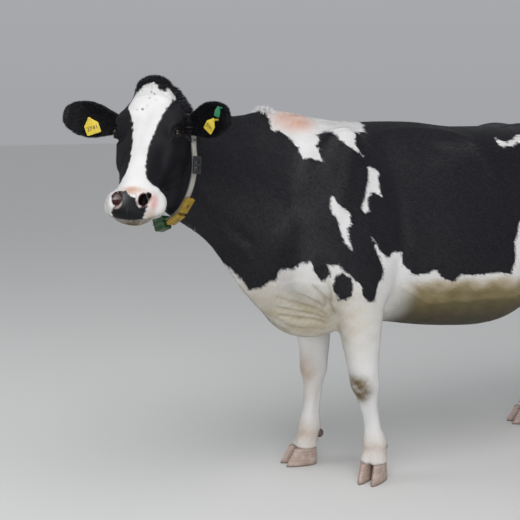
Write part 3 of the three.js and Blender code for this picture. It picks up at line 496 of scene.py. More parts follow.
def ear_own(side, points):
    """Share of the ear's length, height as a share of its half height, and depth off its leaf."""
    root, outwards, facing, high = ears[side]
    steps = points - root
    place = steps @ outwards / EAR_LENGTH
    inner = np.clip(place, 0, 1)
    rise = smooth(inner, 0, EAR_WIDEST)
    fall = np.clip((inner - EAR_WIDEST) / (1 - EAR_WIDEST), 0, 1)
    leaf = np.where(inner < EAR_WIDEST, 0.44 + 0.56 * rise, np.sqrt(1 - fall ** 2))
    half = np.maximum(8, EAR_HALF * leaf)
    share = steps @ high / half
    cup = 30 * np.sin(math.pi * np.minimum(1, 0.12 + inner)) * half / EAR_HALF
    bowl = cup * (np.minimum(np.abs(share), 1.2) ** 2 - 0.5) + 14 * place * place
    return place, share, steps @ facing - bowl, half


def ear_shape(side, points):
    place, share, depth, half = ear_own(side, points)
    thick = 24 * np.clip(1 - place, 0, 1) ** 1.6 + 4.5
    leaf = (np.hypot(share, depth / thick) - 1) * thick
    return trim(trim(leaf, (place - 0.985) * EAR_LENGTH, 6), (-0.12 - place) * EAR_LENGTH, 12)


def body_shape(points):
    nearest = torso(points)
    folded = both_sides(points)
    for middle, reach, soft in SWELLINGS.values():
        close = np.abs(points[:, 0] - middle[0]) < reach[0] + 2 * soft
        nearest[close] = join(nearest[close], ellipsoid(folded[close], middle, reach), soft)
    for leg in legs.values():
        close = (points[:, 2] < 1120) & (points[:, 1] * leg["side"] > -50)
        close &= points[:, 0] > 1000 if leg["hind"] else points[:, 0] < 700
        join_where(nearest, points, close, partial(leg_shape, leg),
                   HINDLEG_SOFT if leg["hind"] else FORELEG_SOFT)
    join_where(nearest, points, points[:, 0] < -330, head_shape, HEAD_SOFT)
    return nearest


def cow_shape(points):
    nearest = body_shape(points)
    for side in ears:
        close = np.linalg.norm(points - ears[side][0], axis=1) < EAR_LENGTH + 60
        join_where(nearest, points, close, partial(ear_shape, side), EAR_SOFT)
    under_rear = (points[:, 0] > 1000) & (points[:, 2] < 1000)
    join_where(nearest, points, under_rear, udder_shape, REAR_SOFT)
    join_where(nearest, points, points[:, 0] > 1450, tail_shape, REAR_SOFT)
    return nearest


# ---------------------------------------------------------------- folds, veins and tendons

# Low ridges and creases in the hide: the edge of the ribs, the groove of the neck, folds of the
# brisket at the elbow, the milk vein, tendons and the cleft of the foot, the mouth and eyelids.
# Each is on both sides and has its half width and height; on the trunk it runs through (x, z).
BODY_LINES = [
    ("edge of the ribs", 26, 6, [(300, 1404), (470, 1417), (600, 1420), (690, 1410),
                                 (740, 1372), (790, 1300), (830, 1210)]),
    ("hollow of the flank", 70, -13, [(930, 1330), (1050, 1310), (1120, 1230)]),
    ("spine of the blade", 30, 5, [(190, 1400), (130, 1220), (70, 1050)]),
    ("behind the blade", 34, -6, [(330, 1350), (360, 1200), (372, 1050), (368, 930)]),
    ("behind the arm", 26, -9, [(366, 930), (372, 840), (372, 760), (368, 690)]),
    ("groove of the neck", 20, -7, [(-470, 1240), (-380, 1140), (-300, 1060), (-210, 990)]),
    ("edge of the throat", 16, 4, [(-440, 1150), (-350, 1070), (-260, 985), (-190, 905)]),
    ("muscle of the neck", 40, 5, [(-420, 1400), (-260, 1290), (-110, 1160), (-20, 1050)]),
    ("fold of the arm", 17, -10, [(20, 915), (52, 850), (78, 780), (96, 715)]),
    ("roll at the elbow", 12, 6, [(46, 880), (76, 800), (104, 730)]),
    ("brisket fold 1", 6.5, -5, [(124, 700), (84, 752), (36, 800), (-6, 836)]),
    ("brisket fold 2", 6.5, -5.5, [(124, 688), (76, 732), (20, 768), (-40, 796)]),
    ("brisket fold 3", 6.5, -6, [(124, 678), (56, 722), (-20, 750), (-90, 772)]),
    ("brisket fold 4", 6.5, -6, [(122, 668), (50, 700), (-30, 718), (-84, 728)]),
    ("brisket fold 5", 6.5, -6, [(120, 656), (50, 680), (-20, 690), (-70, 696)]),
    ("brisket roll", 16, 5, [(118, 644), (56, 658), (-10, 666), (-70, 690)]),
    ("brisket fold 6", 7, -6, [(112, 630), (56, 638), (0, 642), (-44, 652)]),
    ("milk vein", 9, 8, [(400, 800), (450, 776), (500, 738), (560, 716), (640, 728),
                         (700, 718), (790, 728), (880, 722), (960, 736), (1080, 764),
                         (1180, 760)]),
    ("above the milk vein", 16, -5, [(430, 802), (520, 760), (620, 752), (720, 744),
                                     (860, 750)]),
    ("fold of the flank", 30, 11, [(1120, 900), (1190, 830), (1250, 780)]),
    ("behind the flank", 30, -10, [(1150, 960), (1200, 900), (1262, 880)]),
    ("muscles of the thigh", 30, -8, [(1500, 1230), (1540, 1080), (1560, 940), (1560, 820)]),
]
# The same on the head, through places in its own measures.
HEAD_LINES = [
    ("mouth", 5, -10, [(532, 0, -52), (526, 34, -54), (510, 66, -62), (486, 92, -76),
                       (450, 100, -92), (414, 90, -100)]),
    ("lower lip", 8, 3, [(522, 0, -68), (510, 36, -74), (478, 66, -92), (440, 76, -106)]),
    ("flank of the upper lip", 16, 4, [(512, 66, -44), (486, 90, -58), (452, 102, -70)]),
    ("upper lip cleft", 3.5, -3, [(532, 0, -34), (520, 0, -22), (500, 0, -15)]),
    ("upper lid fold", 4, -4.5, [(196, 98, -24), (176, 106, -15), (158, 116, -24),
                                 (148, 122, -46)]),
    ("upper lid", 3.5, 2.5, [(194, 104, -26), (178, 112, -20), (163, 120, -30),
                             (155, 124, -50)]),
    ("lower lid fold", 4, -3.5, [(206, 104, -34), (200, 114, -50), (184, 122, -66)]),
    ("tear groove", 6, -4, [(200, 96, -24), (226, 90, -26), (262, 84, -34)]),
    ("edge of the cheek", 10, 4, [(206, 104, -56), (260, 92, -62), (318, 78, -66),
                                  (360, 70, -66)]),
    ("edge of the jaw", 12, 5, [(120, 84, -205), (190, 86, -212), (256, 74, -194),
                                (330, 56, -164)]),
    ("hollow of the cheek", 20, -7, [(290, 84, -110), (340, 74, -104), (392, 72, -96)]),
    ("temple hollow", 14, -5, [(118, 104, -52), (92, 98, -62), (64, 90, -80)]),
    ("forehead middle", 16, -3, [(90, 0, 8), (150, 0, 8), (210, 0, 0)]),
    ("nostril rim", 6, 4, [(446, 36, -12), (474, 34, -10), (494, 46, -14), (490, 66, -24),
                           (466, 80, -34), (442, 80, -32)]),
]
# Down each leg: sideways place as a share of the half width, heights, half width, height.
LEG_LINES = [
    ("before the tendons", 0.55, (345, 190), 7, -5),
    ("behind the knee", 0.40, (470, 400), 12, -4),
]
CLEFT = {"width": 7, "depth": -12, "top": 112, "fade": 40}
CORONET_RIDGE = {"level": 78, "width": 9, "height": 2.5}


def nearest_line(points, path, width):
    """How much of a ridge's height is felt at each point: 1 on its line, 0 away from it."""
    path = np.asarray(path, float)
    low, high = path.min(0) - 3 * width, path.max(0) + 3 * width
    felt = np.zeros(len(points))
    close = np.all((points > low) & (points < high), axis=1)
    if close.any():
        far, share = along_path(points[close], path)
        fade = np.clip(np.minimum(share, 1 - share) * 2 * (len(path) - 1), 0, 1)
        felt[close] = np.exp(-(far / width) ** 2) * (0.25 + 0.75 * fade)
    return felt


def on_side(flat, side):
    """The places on one flank at each (x, z), found inwards from the outside."""
    x, z = np.asarray(flat, float).T
    inner, outer = spine(x), np.full(len(x), side * 520.0)
    for _ in range(22):
        y = (inner + outer) / 2
        inside = cow_shape(np.stack([x, y, z], 1)) < 0
        inner, outer = np.where(inside, y, inner), np.where(inside, outer, y)
    return np.stack([x, outer, z], 1)


def fine_path(path, steps=4):
    at = profile([(i, *place) for i, place in enumerate(path)])
    return at(np.linspace(0, len(path) - 1, steps * (len(path) - 1) + 1)).T


def relief(points):
    """Height of the folds and veins over the smooth body, in millimetres."""
    raised = np.zeros(len(points))
    for _, width, height, path in BODY_LINES:
        for side in (-1, 1):
            places = on_side(fine_path(path, 2), side)
            raised += height * nearest_line(points, places, width)
    measures = both_sides(head_measures(points))
    for _, width, height, path in HEAD_LINES:
        raised += height * nearest_line(measures, fine_path(path), width)
    for leg in legs.values():
        ahead, across = leg_own(leg, points)
        front, back, side = leg["section_at"](points[:, 2])
        low = points[:, 2] < 600
        low &= (np.abs(ahead) < 90) & (np.abs(across) < 90)
        lift = 150 if leg["hind"] else 0
        for _, place, (top, bottom), width, height in LEG_LINES:
            level = np.clip((points[:, 2] - bottom) / 30, 0, 1)
            level *= np.clip((top + lift - points[:, 2]) / 30, 0, 1)
            groove = np.exp(-((ahead - place * back * 0.55) / width) ** 2) * level
            raised[low] += (height * groove)[low]
        level = np.clip((CLEFT["top"] - points[:, 2]) / CLEFT["fade"], 0, 1)
        cleft = np.exp(-(across / CLEFT["width"]) ** 2) * level
        raised[low] += (CLEFT["depth"] * cleft)[low]
        ridge = np.exp(-((points[:, 2] - CORONET_RIDGE["level"]) / CORONET_RIDGE["width"]) ** 2)
        raised[low] += CORONET_RIDGE["height"] * ridge[low]
    return raised


# ---------------------------------------------------------------- the hide

# One unbroken skin over all the flesh, a coat's depth inside it. The rough parts of the frame are
# swelled a little, run together and then drawn onto the smooth shape above; the head and brisket
# are divided finer than the rest, and the eyes and muzzle finer still.
FLESH = [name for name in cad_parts
         if name.split("_")[0] in ("trunk", "neck", "head", "leg", "udder", "teat")
         or name in ("tail", "ear_left", "ear_right")]
SWELL = {"ear": 0.007, "teat": 0.003, "tail": 0.004}
SWELL_ELSEWHERE = 0.0016
HIDE_CELL = 0.0118
SLOPE_STEP = 0.8
COAT_DEPTH, HEAD_DEPTH, LEG_DEPTH, BARE_DEPTH = 2.4, 1.2, 1.4, 0.4


def swelled_copy(whole, name, by):
    part = bmesh.new()
    part.from_mesh(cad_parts[name].data)
    bmesh.ops.remove_doubles(part, verts=part.verts, dist=1e-5)
    part.normal_update()
    moved = [vertex.co + vertex.normal * by for vertex in part.verts]
    for vertex, place in zip(part.verts, moved):
        vertex.co = place
    copy = finished_mesh(part, name + "_copy")
    whole.from_mesh(copy)
    bpy.data.meshes.remove(copy)


def run_together(whole, cell):
    rough = in_scene("hide_rough", finished_mesh(whole, "hide"))
    remesh = rough.modifiers.new("one skin", "REMESH")
    remesh.mode = "VOXEL"
    remesh.voxel_size = cell
    made = bpy.data.meshes.new_from_object(
        rough.evaluated_get(bpy.context.evaluated_depsgraph_get()))
    bpy.data.objects.remove(rough)
    return made


def keep_largest(shape):
    """Drops any small pocket that the remeshing left apart from the skin."""
    shape.verts.ensure_lookup_table()
    seen = np.zeros(len(shape.verts), bool)
    best = []
    for start in shape.verts:
        if seen[start.index]:
            continue
        seen[start.index] = True
        group = [start]
        for vertex in group:
            for edge in vertex.link_edges:
                other = edge.other_vert(vertex)
                if not seen[other.index]:
                    seen[other.index] = True
                    group.append(other)
        if len(group) > len(best):
            best = group
    kept = set(best)
    stray = [vertex for vertex in shape.verts if vertex not in kept]
    bmesh.ops.delete(shape, geom=stray, context="VERTS")


def places_of(shape):
    return np.array([vertex.co[:] for vertex in shape.verts]) * 1000 - ORIGIN


def set_places(shape, points):
    for vertex, place in zip(shape.verts, in_frame(points)):
        vertex.co = place


def slope_of(points, here):
    return np.stack([(cow_shape(points + SLOPE_STEP * axis) - here) / SLOPE_STEP
                     for axis in np.eye(3)], 1)


def drawn_on(points, depth, rounds, most=9.0):
    for _ in range(rounds):
        here = cow_shape(points)
        slope = slope_of(points, here)
        steep = np.maximum((slope ** 2).sum(1), 0.04)
        move = slope * ((here + depth * np.sqrt(steep)) / steep)[:, None]
        long = np.linalg.norm(move, axis=1, keepdims=True)
        points = points - move * np.minimum(1, most / np.maximum(long, 1e-9))
    return points


def evened(shape, points, share):
    """Moves each place part of the way to the middle of its neighbours."""
    ends = np.array([[v.index for v in edge.verts] for edge in shape.edges])
    total = np.zeros_like(points)
    count = np.zeros(len(points))
    for a, b in ((0, 1), (1, 0)):
        np.add.at(total, ends[:, a], points[ends[:, b]])
        np.add.at(count, ends[:, a], 1)
    return points + share * (total / count[:, None] - points)


def coat_depth(points):
    """Depth of the hide under the tips of the hair: less on the head, ears, feet and udder."""
    measures = head_measures(points)
    on_head = np.clip((-430 - points[:, 0]) / 120, 0, 1)
    depth = COAT_DEPTH + (HEAD_DEPTH - COAT_DEPTH) * on_head
    depth = np.where(measures[:, 0] > 420, BARE_DEPTH, depth)
    crown = np.clip((30 - measures[:, 0]) / 30, 0, 1) * np.clip((measures[:, 2] + 90) / 30, 0, 1)
    depth = depth + 6.5 * crown * on_head
    low = np.clip((600 - points[:, 2]) / 200, 0, 1)
    depth = depth + (LEG_DEPTH - depth) * low * (1 - on_head)
    near_udder = (points[:, 0] > 1150) & (points[:, 2] < 860) & (udder_shape(points) < 12)
    return np.where(near_udder, BARE_DEPTH, depth)


def divide_near(shape, points, chosen):
    shape.verts.index_update()
    edges = [edge for edge in shape.edges if chosen[edge.verts[0].index]
             and chosen[edge.verts[1].index]]
    bmesh.ops.subdivide_edges(shape, edges=edges, cuts=1, use_grid_fill=True)
    shape.verts.ensure_lookup_table()
    shape.verts.index_update()


def near_face_detail(points):
    folded = both_sides(head_measures(points))
    eye = np.linalg.norm(folded - (EYE + 20 * eye_axis), axis=1) < 46
    muzzle = (folded[:, 0] > 416) & (folded[:, 2] > -98)
    return eye | muzzle


def near_folds(points):
    return (np.abs(points[:, 0] - 10) < 150) & (np.abs(points[:, 2] - 730) < 120)


def shade_smooth(mesh):
    mesh.polygons.foreach_set("use_smooth", np.ones(len(mesh.polygons), bool))


def shown(name, mesh, slot, *replaced):
    """A finished piece of the cow, in place of the frame's nodes that it stands for."""
    piece = in_scene(name, mesh)
    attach(piece, "root")
    if replaced:
        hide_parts(*replaced)
    return piece


whole = bmesh.new()
for name in FLESH:
    swelled_copy(whole, name, SWELL.get(name.split("_")[0], SWELL_ELSEWHERE))
for name in ("eye_left", "eye_right"):
    swelled_copy(whole, name, 0.0)
hide_mesh = run_together(whole, HIDE_CELL)
hide = bmesh.new()
hide.from_mesh(hide_mesh)
keep_largest(hide)
hide.verts.index_update()
points = places_of(hide)
points = drawn_on(points, np.zeros(len(points)), 4)
points = drawn_on(evened(hide, points, 0.5), np.zeros(len(points)), 2)
set_places(hide, points)
measures = head_measures(points)
divide_near(hide, points, near_folds(points) | (
    (points[:, 0] < -400) & (measures[:, 2] > -260) & (measures[:, 0] > -80)))
points = places_of(hide)
divide_near(hide, points, near_face_detail(points))
points = places_of(hide)
bmesh.ops.triangulate(hide, faces=[face for face in hide.faces if len(face.verts) > 4])
for share in (0.6, 0.6, 0.5, 0.35):
    points = drawn_on(evened(hide, points, share), coat_depth(points), 2, 5.0)
points = points + unit(slope_of(points, cow_shape(points))) * relief(points)[:, None]
set_places(hide, points)
hide.normal_update()
hide.to_mesh(hide_mesh)
hide.free()
hide_mesh.name = "skin"
shade_smooth(hide_mesh)
shown("skin", hide_mesh, "coat_black_and_white", *FLESH)

# ---------------------------------------------------------------- markings

# Black patches over white hair. Each outline runs round a white patch: on one side of the trunk
# (x, z), or on the face (along, left). The legs are white from the elbow and stifle down. The
# white hair is stained by soil on the belly and knees; on the belly a reflection of grass is
# painted in with the soil, and painted shade lies in the folds of the brisket, under the lips and
# on the chin. Bare skin is pink or dark grey, with painted shade deep in the nostrils and along
# the mouth and a painted sheen on the nose pad.
SADDLE_TOP = [(345, 1600), (-110, 1600)]
RUMP_TOP = [(1490, 1600), (1345, 1600)]
UNDER_START = [(-340, 870), (-290, 915)]
UNDER_END = [(1660, 790), (1740, 860), (1900, 860), (1900, -100), (-700, -100)]
WHITE_LEFT = {
    "saddle": SADDLE_TOP + [
        (-106, 1465), (-106, 1425), (-82, 1428), (-45, 1397), (-24, 1370), (-5, 1316), (15, 1320),
        (47, 1311), (48, 1363), (70, 1404), (103, 1419), (122, 1390), (163, 1359), (219, 1330),
        (184, 1370), (202, 1415), (300, 1411), (334, 1442)],
    "behind the shoulder": [
        (242, 1288), (289, 1263), (281, 1221), (284, 1171), (242, 1188), (221, 1162), (222, 1116),
        (207, 1105), (190, 1121), (207, 1163), (231, 1219)],
    "shoulder": [
        (70, 1182), (95, 1144), (138, 1105), (144, 1074), (125, 1056), (125, 1015), (138, 966),
        (107, 1001), (89, 1073), (62, 1130)],
    "underside": UNDER_START + [
        (-226, 858), (-183, 803), (-150, 815), (-106, 855), (-105, 901),
        (-77, 897), (-57, 922), (-17, 934), (31, 926), (62, 912), (85, 915), (110, 890),
        (136, 868), (179, 835), (200, 784), (225, 758), (254, 760), (266, 834), (284, 851),
        (281, 895), (255, 940), (241, 980), (225, 1021), (262, 960), (301, 925), (331, 945),
        (370, 946), (387, 894), (428, 851), (483, 848), (527, 867), (566, 824), (615, 813),
        (637, 837), (720, 833), (801, 841), (864, 829), (888, 881), (877, 959), (905, 1040),
        (960, 1075), (1010, 1020), (1060, 930), (1120, 905), (1180, 960), (1240, 1060),
        (1300, 1080), (1335, 1000), (1375, 900), (1450, 800), (1530, 740),
        (1600, 720)] + UNDER_END,
    "rump": RUMP_TOP + [
        (1320, 1430), (1180, 1412), (1080, 1404), (985, 1392), (905, 1366), (849, 1386),
        (866, 1352), (920, 1350), (960, 1366), (1050, 1352), (1180, 1310), (1300, 1290),
        (1420, 1330), (1480, 1400)],
}
WHITE_RIGHT = {
    "saddle": SADDLE_TOP + [
        (-100, 1420), (-40, 1330), (10, 1270), (60, 1255), (110, 1320), (170, 1345),
        (250, 1352), (320, 1415)],
    "flank": [
        (640, 1180), (700, 1230), (790, 1210), (820, 1130), (770, 1060), (700, 1040),
        (650, 1090)],
    "underside": UNDER_START + [
        (-210, 960), (-120, 930), (-60, 985), (20, 990), (90, 930),
        (170, 900), (220, 960), (300, 1000), (350, 930), (430, 880), (520, 850), (640, 800),
        (760, 810), (900, 780), (1010, 840), (1080, 960), (1150, 1020), (1240, 960),
        (1330, 860), (1450, 780), (1560, 740)] + UNDER_END,
    "rump": RUMP_TOP + [
        (1330, 1420), (1200, 1400), (1120, 1350), (1180, 1290), (1290, 1310), (1360, 1270),
        (1450, 1340)],
}
BLACK_LEFT = {
    "spot before the arm": [(-20, 945), (40, 935), (58, 876), (40, 852), (14, 862), (-6, 895)],
    "spot on the arm": [(72, 850), (82, 876), (106, 884), (142, 858), (154, 812), (136, 772),
                        (108, 772), (80, 812)],
}
FAR_IN_BLACK, EAR_BLACK, BARE_WHITE = -300.0, -60, 60
BLAZE_DEPTH, MUZZLE_WHITE = 70, 398
BLAZE = [
    (55, -82), (34, -58), (22, -36), (7, -12), (3, 6), (10, 24), (28, 32), (26, 50), (8, 64),
    (16, 78), (60, 76), (89, 71), (142, 54), (172, 44), (203, 37), (255, 29), (319, 32),
    (355, 36), (382, 44), (404, 62), (408, 80), (400, 112), (560, 120), (560, -120),
    (400, -112), (406, -60), (385, -42), (358, -31), (309, -26), (255, -31), (203, -37),
    (167, -42), (135, -54), (100, -74), (83, -80)]
FRECKLES = [(111, -15, 4.5), (47, 19, 2.2), (64, 2, 1.8), (96, -3, 1.6), (113, -36, 1.6),
            (72, 24, 1.2), (40, 6, 1.4)]
NOSE_PAD = [(433, -52), (436, -17), (452, -7), (462, 18), (478, 26), (498, 38), (493, 66),
            (508, 58), (524, 46), (560, 30), (560, -50), (524, -60), (507, -66), (496, -46),
            (480, -30), (461, -44)]
NOSTRIL_RIMS = [
    [(446, -6, -6), (446, 14, -7), (458, 21, -10), (478, 27, -13), (493, 39, -13),
     (491, 56, -12)],
    [(454, -42, -10), (470, -33, -11), (490, -32, -14), (500, -44, -15), (496, -58, -14)]]
UDDER_PINK = (0.60, 0.42, 0.36)
NOSE_SLATE, RIM_PINK, MOUTH_CREASE_SHADE = (0.0095, 0.0100, 0.0110), (0.56, 0.42, 0.40), (0.06, 0.045, 0.035)
NOSTRIL_RED, NOSTRIL_PAINTED_SHADE = (0.050, 0.012, 0.011), (0.002, 0.0008, 0.0008)
LID_BLACK = (0.006, 0.006, 0.0065)
WHITE_HAIR = (0.72, 0.715, 0.71)
BLACK_HAIR, BLACK_HIDE = (0.0115, 0.0115, 0.0150), (0.0100, 0.0100, 0.0130, 1)
# middle, reach, colour and strength of each stain or change of skin colour on the body
STAINS = {
    "skin of the withers": ((0, -60, 1462), (84, 130, 44), (0.68, 0.41, 0.31), 0.90),
    "brisket": ((60, -60, 690), (270, 300, 170), (0.45, 0.39, 0.27), 0.80),
    "throat": ((-200, -60, 800), (120, 120, 70), (0.60, 0.52, 0.40), 0.35),
    "left knee": ((232, -200, 393), (47, 64, 64), (0.135, 0.090, 0.030), 1.0),
    "right knee": ((170, 130, 400), (44, 60, 70), (0.42, 0.26, 0.14), 0.50),
    "right cannon": ((170, 120, 300), (60, 60, 90), (0.56, 0.46, 0.38), 0.25),
    "left fetlock": ((322, -178, 130), (80, 80, 70), (0.50, 0.40, 0.31), 0.62),
    "right fetlock": ((180, 130, 120), (80, 80, 70), (0.48, 0.36, 0.26), 0.66),
    "hocks": ((1600, -160, 470), (110, 400, 110), (0.40, 0.30, 0.18), 0.55),
    "rear fetlocks": ((1520, 0, 110), (180, 400, 90), (0.38, 0.30, 0.20), 0.65),
    "thighs": ((1480, 0, 820), (200, 400, 160), (0.45, 0.34, 0.20), 0.45),
}
HEAD_TINTS = {
    "skin over the nose": ((434, 4, -6), (14, 44, 30), (0.56, 0.37, 0.28), 0.95),
    "beside the left nostril": ((466, 80, -24), (34, 17, 22), (0.60, 0.31, 0.27), 0.85),
    "beside the right nostril": ((466, -84, -30), (24, 12, 18), (0.60, 0.42, 0.36), 0.35),
    "under the left nostril": ((510, 70, -44), (18, 22, 24), (0.58, 0.44, 0.36), 0.70),
    # The chin is yellowish hair deepened with painted shade; the lips are olive with painted shade
    # under the upper lip.
    "chin": ((512, 0, -104), (96, 100, 48), (0.135, 0.115, 0.035), 1.25),
    "lips, olive and in painted shade": ((520, 0, -66), (30, 70, 16), (0.085, 0.058, 0.030), 0.90),
}


def inside_by(flat, outline):
    """Distance to an outline, positive inside it."""
    corners = np.asarray(outline, float)
    least = np.full(len(flat), 1e9)
    inside = np.zeros(len(flat), bool)
    for a, b in zip(corners, np.roll(corners, -1, axis=0)):
        run = b - a
        steps = flat - a
        t = np.clip(steps @ run / (run @ run), 0, 1)
        least = np.minimum(least, ((steps - t[:, None] * run) ** 2).sum(1))
        if a[1] != b[1]:
            crosses = (flat[:, 1] < a[1]) != (flat[:, 1] < b[1])
            at = a[0] + (flat[:, 1] - a[1]) * run[0] / run[1]
            inside ^= crosses & (flat[:, 0] < at)
    return np.where(inside, 1, -1) * np.sqrt(least)


def wander(points, wavelength, key):
    """A smooth wavering between about -1 and 1, with no direction of its own."""
    source = np.random.default_rng(key)
    total = np.zeros(len(points))
    for _ in range(9):
        way = source.normal(size=3)
        way *= source.uniform(0.7, 1.5) * 2 * math.pi / wavelength / np.linalg.norm(way)
        total += np.sin(points @ way + source.uniform(0, 2 * math.pi))
    return total / 3.4


def on_ear(points):
    found = np.zeros(len(points), bool)
    for side in ears:
        close = np.linalg.norm(points - ears[side][0], axis=1) < EAR_LENGTH + 30
        place, share, depth, _ = ear_own(side, points[close])
        found[close] |= (place > 0.04) & (np.abs(share) < 1.4) & (np.abs(depth) < 44)
    return found


def on_head(points):
    measures = head_measures(points)
    return (points[:, 0] < -430) & (measures[:, 0] > -100) & (
        (measures[:, 0] - 0.4 * measures[:, 2] > 30) | (measures[:, 2] > -70))


def white_by(points):
    """How far each place is inside white hair, in millimetres; negative in the black."""
    flat = points[:, [0, 2]]
    left = points[:, 1] < spine(points[:, 0])
    white = np.full(len(points), FAR_IN_BLACK)
    for side, outlines in ((left, WHITE_LEFT), (~left, WHITE_RIGHT)):
        for outline in outlines.values():
            white[side] = np.maximum(white[side], inside_by(flat[side], outline))
    for outline in BLACK_LEFT.values():
        white[left] = np.minimum(white[left], -inside_by(flat[left], outline))
    white += 3.0 * wander(points, 40, 11) + 1.5 * wander(points, 14, 12)
    head = on_head(points)
    measures = head_measures(points[head])
    face = np.minimum(inside_by(measures[:, :2], BLAZE), measures[:, 2] + BLAZE_DEPTH)
    face = np.maximum(face, measures[:, 0] - MUZZLE_WHITE - 0.12 * measures[:, 2])
    face += 2.4 * wander(points[head], 30, 13) + 1.2 * wander(points[head], 11, 14)
    for along, across, size in FRECKLES:
        far = np.hypot(measures[:, 0] - along, measures[:, 1] - across)
        face = np.minimum(face, np.where(measures[:, 2] > -40, far - size, 300))
    white[head] = face
    white[on_ear(points)] = EAR_BLACK
    return white


def blended(colours, points, tints):
    for middle, reach, colour, strength in tints.values():
        near = (((points - middle) / reach) ** 2).sum(1)
        share = strength * np.exp(-near ** 1.4)
        share *= 1 + 0.22 * wander(points, 60, 21) + 0.14 * wander(points, 18, 22)
        share = np.clip(share, 0, 1)[:, None]
        colours = colours * (1 - share) + np.array(colour) * share
    return colours


# Mud on the belly with a painted reflection of grass: heights and the colour there, darkest
# along the bottom.
BELLY_LEVELS = (610, 662, 716, 766, 808, 845)
BELLY_MUD_AND_GRASS_REFLECTION = [(0.034, 0.025, 0.003), (0.066, 0.048, 0.009), (0.125, 0.094, 0.024),
             (0.25, 0.195, 0.085), (0.48, 0.41, 0.30), WHITE_HAIR]
BELLY_TINT_BEGINS, BELLY_TINT_ENDS, BELLY_TINT_TOP, BELLY_TINT_SHARE = (340, 500), (1040, 1240), (800, 850), 0.96
CREASE_WIDTH, CREASE_PAINTED_SHADE = 7, (0.34, 0.38, 0.46)
CREASES = [on_side(fine_path(path, 2), side) for name, *_, path in BODY_LINES
           if name.startswith(("brisket fold", "fold of the arm")) for side in (-1, 1)]


def hide_colour(points):
    """How far inside the white, colour of all that is not black hair, and how bare it is."""
    white = white_by(points)
    colours = np.tile(np.array(WHITE_HAIR), (len(points), 1))
    colours *= (1 + 0.03 * wander(points, 90, 31))[:, None]
    colours = blended(colours, points, STAINS)
    # Mud and a painted reflection of grass over the lower belly, darker towards the bottom.
    level = points[:, 2] + 13 * wander(points, 110, 23) + 5 * wander(points, 26, 24)
    mud_and_reflection = np.stack([np.interp(level, BELLY_LEVELS, channel) for channel in zip(*BELLY_MUD_AND_GRASS_REFLECTION)], 1)
    belly_tint_share = smooth(points[:, 0], *BELLY_TINT_BEGINS) * (1 - smooth(points[:, 0], *BELLY_TINT_ENDS))
    belly_tint_share *= 1 - smooth(points[:, 2], *BELLY_TINT_TOP)
    colours += BELLY_TINT_SHARE * belly_tint_share[:, None] * (mud_and_reflection - colours)
    # Painted shade: the colour is darkened along the folds of the brisket and the arm.
    for crease in CREASES:
        colours *= 1 - nearest_line(points, crease, CREASE_WIDTH)[:, None] * CREASE_PAINTED_SHADE
    bare = np.zeros(len(points))

    udder = (points[:, 0] > 1120) & (points[:, 2] < 880)
    pink = 1 - smooth(udder_shape(points[udder]), 4, 34)
    colours[udder] += pink[:, None] * (np.array(UDDER_PINK) - colours[udder])
    white[udder] = np.maximum(white[udder], np.where(pink > 0.5, BARE_WHITE, white[udder]))
    bare[udder] = pink

    head = on_head(points)
    measures = head_measures(points[head])
    folded = both_sides(measures)
    tone = blended(colours[head], measures, HEAD_TINTS)
    bareness = np.zeros(len(measures))

    def lay(share, colour, is_bare=1.0):
        nonlocal tone, bareness
        tone = tone + share[:, None] * (np.array(colour) - tone)
        bareness = np.maximum(bareness, share * is_bare)

    upper = smooth(measures[:, 2], -54, -46)
    pad = inside_by(measures[:, :2], NOSE_PAD) + 2.0 * wander(measures, 14, 41)
    pad = smooth(pad, -2.5, 2.5) * upper
    # Painted sheen: the upper middle of the nose pad is made up to several times lighter.
    pad_painted_sheen = 1 + 4.6 * np.exp(-(((measures - (458, -24, -10)) / (22, 24, 16)) ** 2).sum(1))
    lay(pad, NOSE_SLATE)
    tone = tone * (1 + (pad * (pad_painted_sheen - 1)))[:, None]
    for rim_path in NOSTRIL_RIMS:
        lay(0.85 * nearest_line(measures, fine_path(rim_path), 3.4), RIM_PINK)
    for middle, reach in NOSTRILS:
        depth = ellipsoid(folded, middle, reach)
        lay(1 - smooth(depth, 0.5, 3.0), NOSTRIL_RED)
        # Painted shade deep inside each nostril.
        lay((1 - smooth(depth, 0.5, 2.5)) * smooth(middle[2] - folded[:, 2], 5, 12),
            NOSTRIL_PAINTED_SHADE)
    # Painted shade along the crease of the mouth.
    mouth = nearest_line(folded, fine_path(HEAD_LINES[0][3]), 4)
    lay(0.8 * mouth, MOUTH_CREASE_SHADE)
    depth, long, high = eye_own(folded)
    rim = (depth > 2) & (np.abs(lid_edge(long, high) - 1) * LID_OPENING[1] < 3.4)
    rim |= (depth > 2) & (lid_edge(long, high) < 1)
    tone[(depth > -6) & (lid_edge(long, high) < 3.2)] = LID_BLACK
    bareness[rim] = 0.7
    rim = rim.astype(float)
    face = white[head]
    face = np.where(pad + rim + (1 - smooth(
        ellipsoid(folded, *NOSTRILS[0]), 0, 3)) > 0.3, BARE_WHITE, face)
    colours[head], bare[head], white[head] = tone, bareness, face
    return white, np.clip(colours, 0, 1), np.clip(bare, 0, 1)


def add_values(mesh, name, kind, values):
    layer = mesh.attributes.new(name, kind, "POINT")
    if kind == "FLOAT_COLOR":
        values = np.concatenate([values, np.ones((len(values), 1))], axis=1)
        layer.data.foreach_set("color", values.astype(np.float32).ravel())
    else:
        layer.data.foreach_set("value", values.astype(np.float32))


def threes(items, name, kind=float):
    """A value of three numbers for each item of a mesh."""
    flat = np.empty(3 * len(items), kind)
    items.foreach_get(name, flat)
    return flat.reshape(-1, 3)


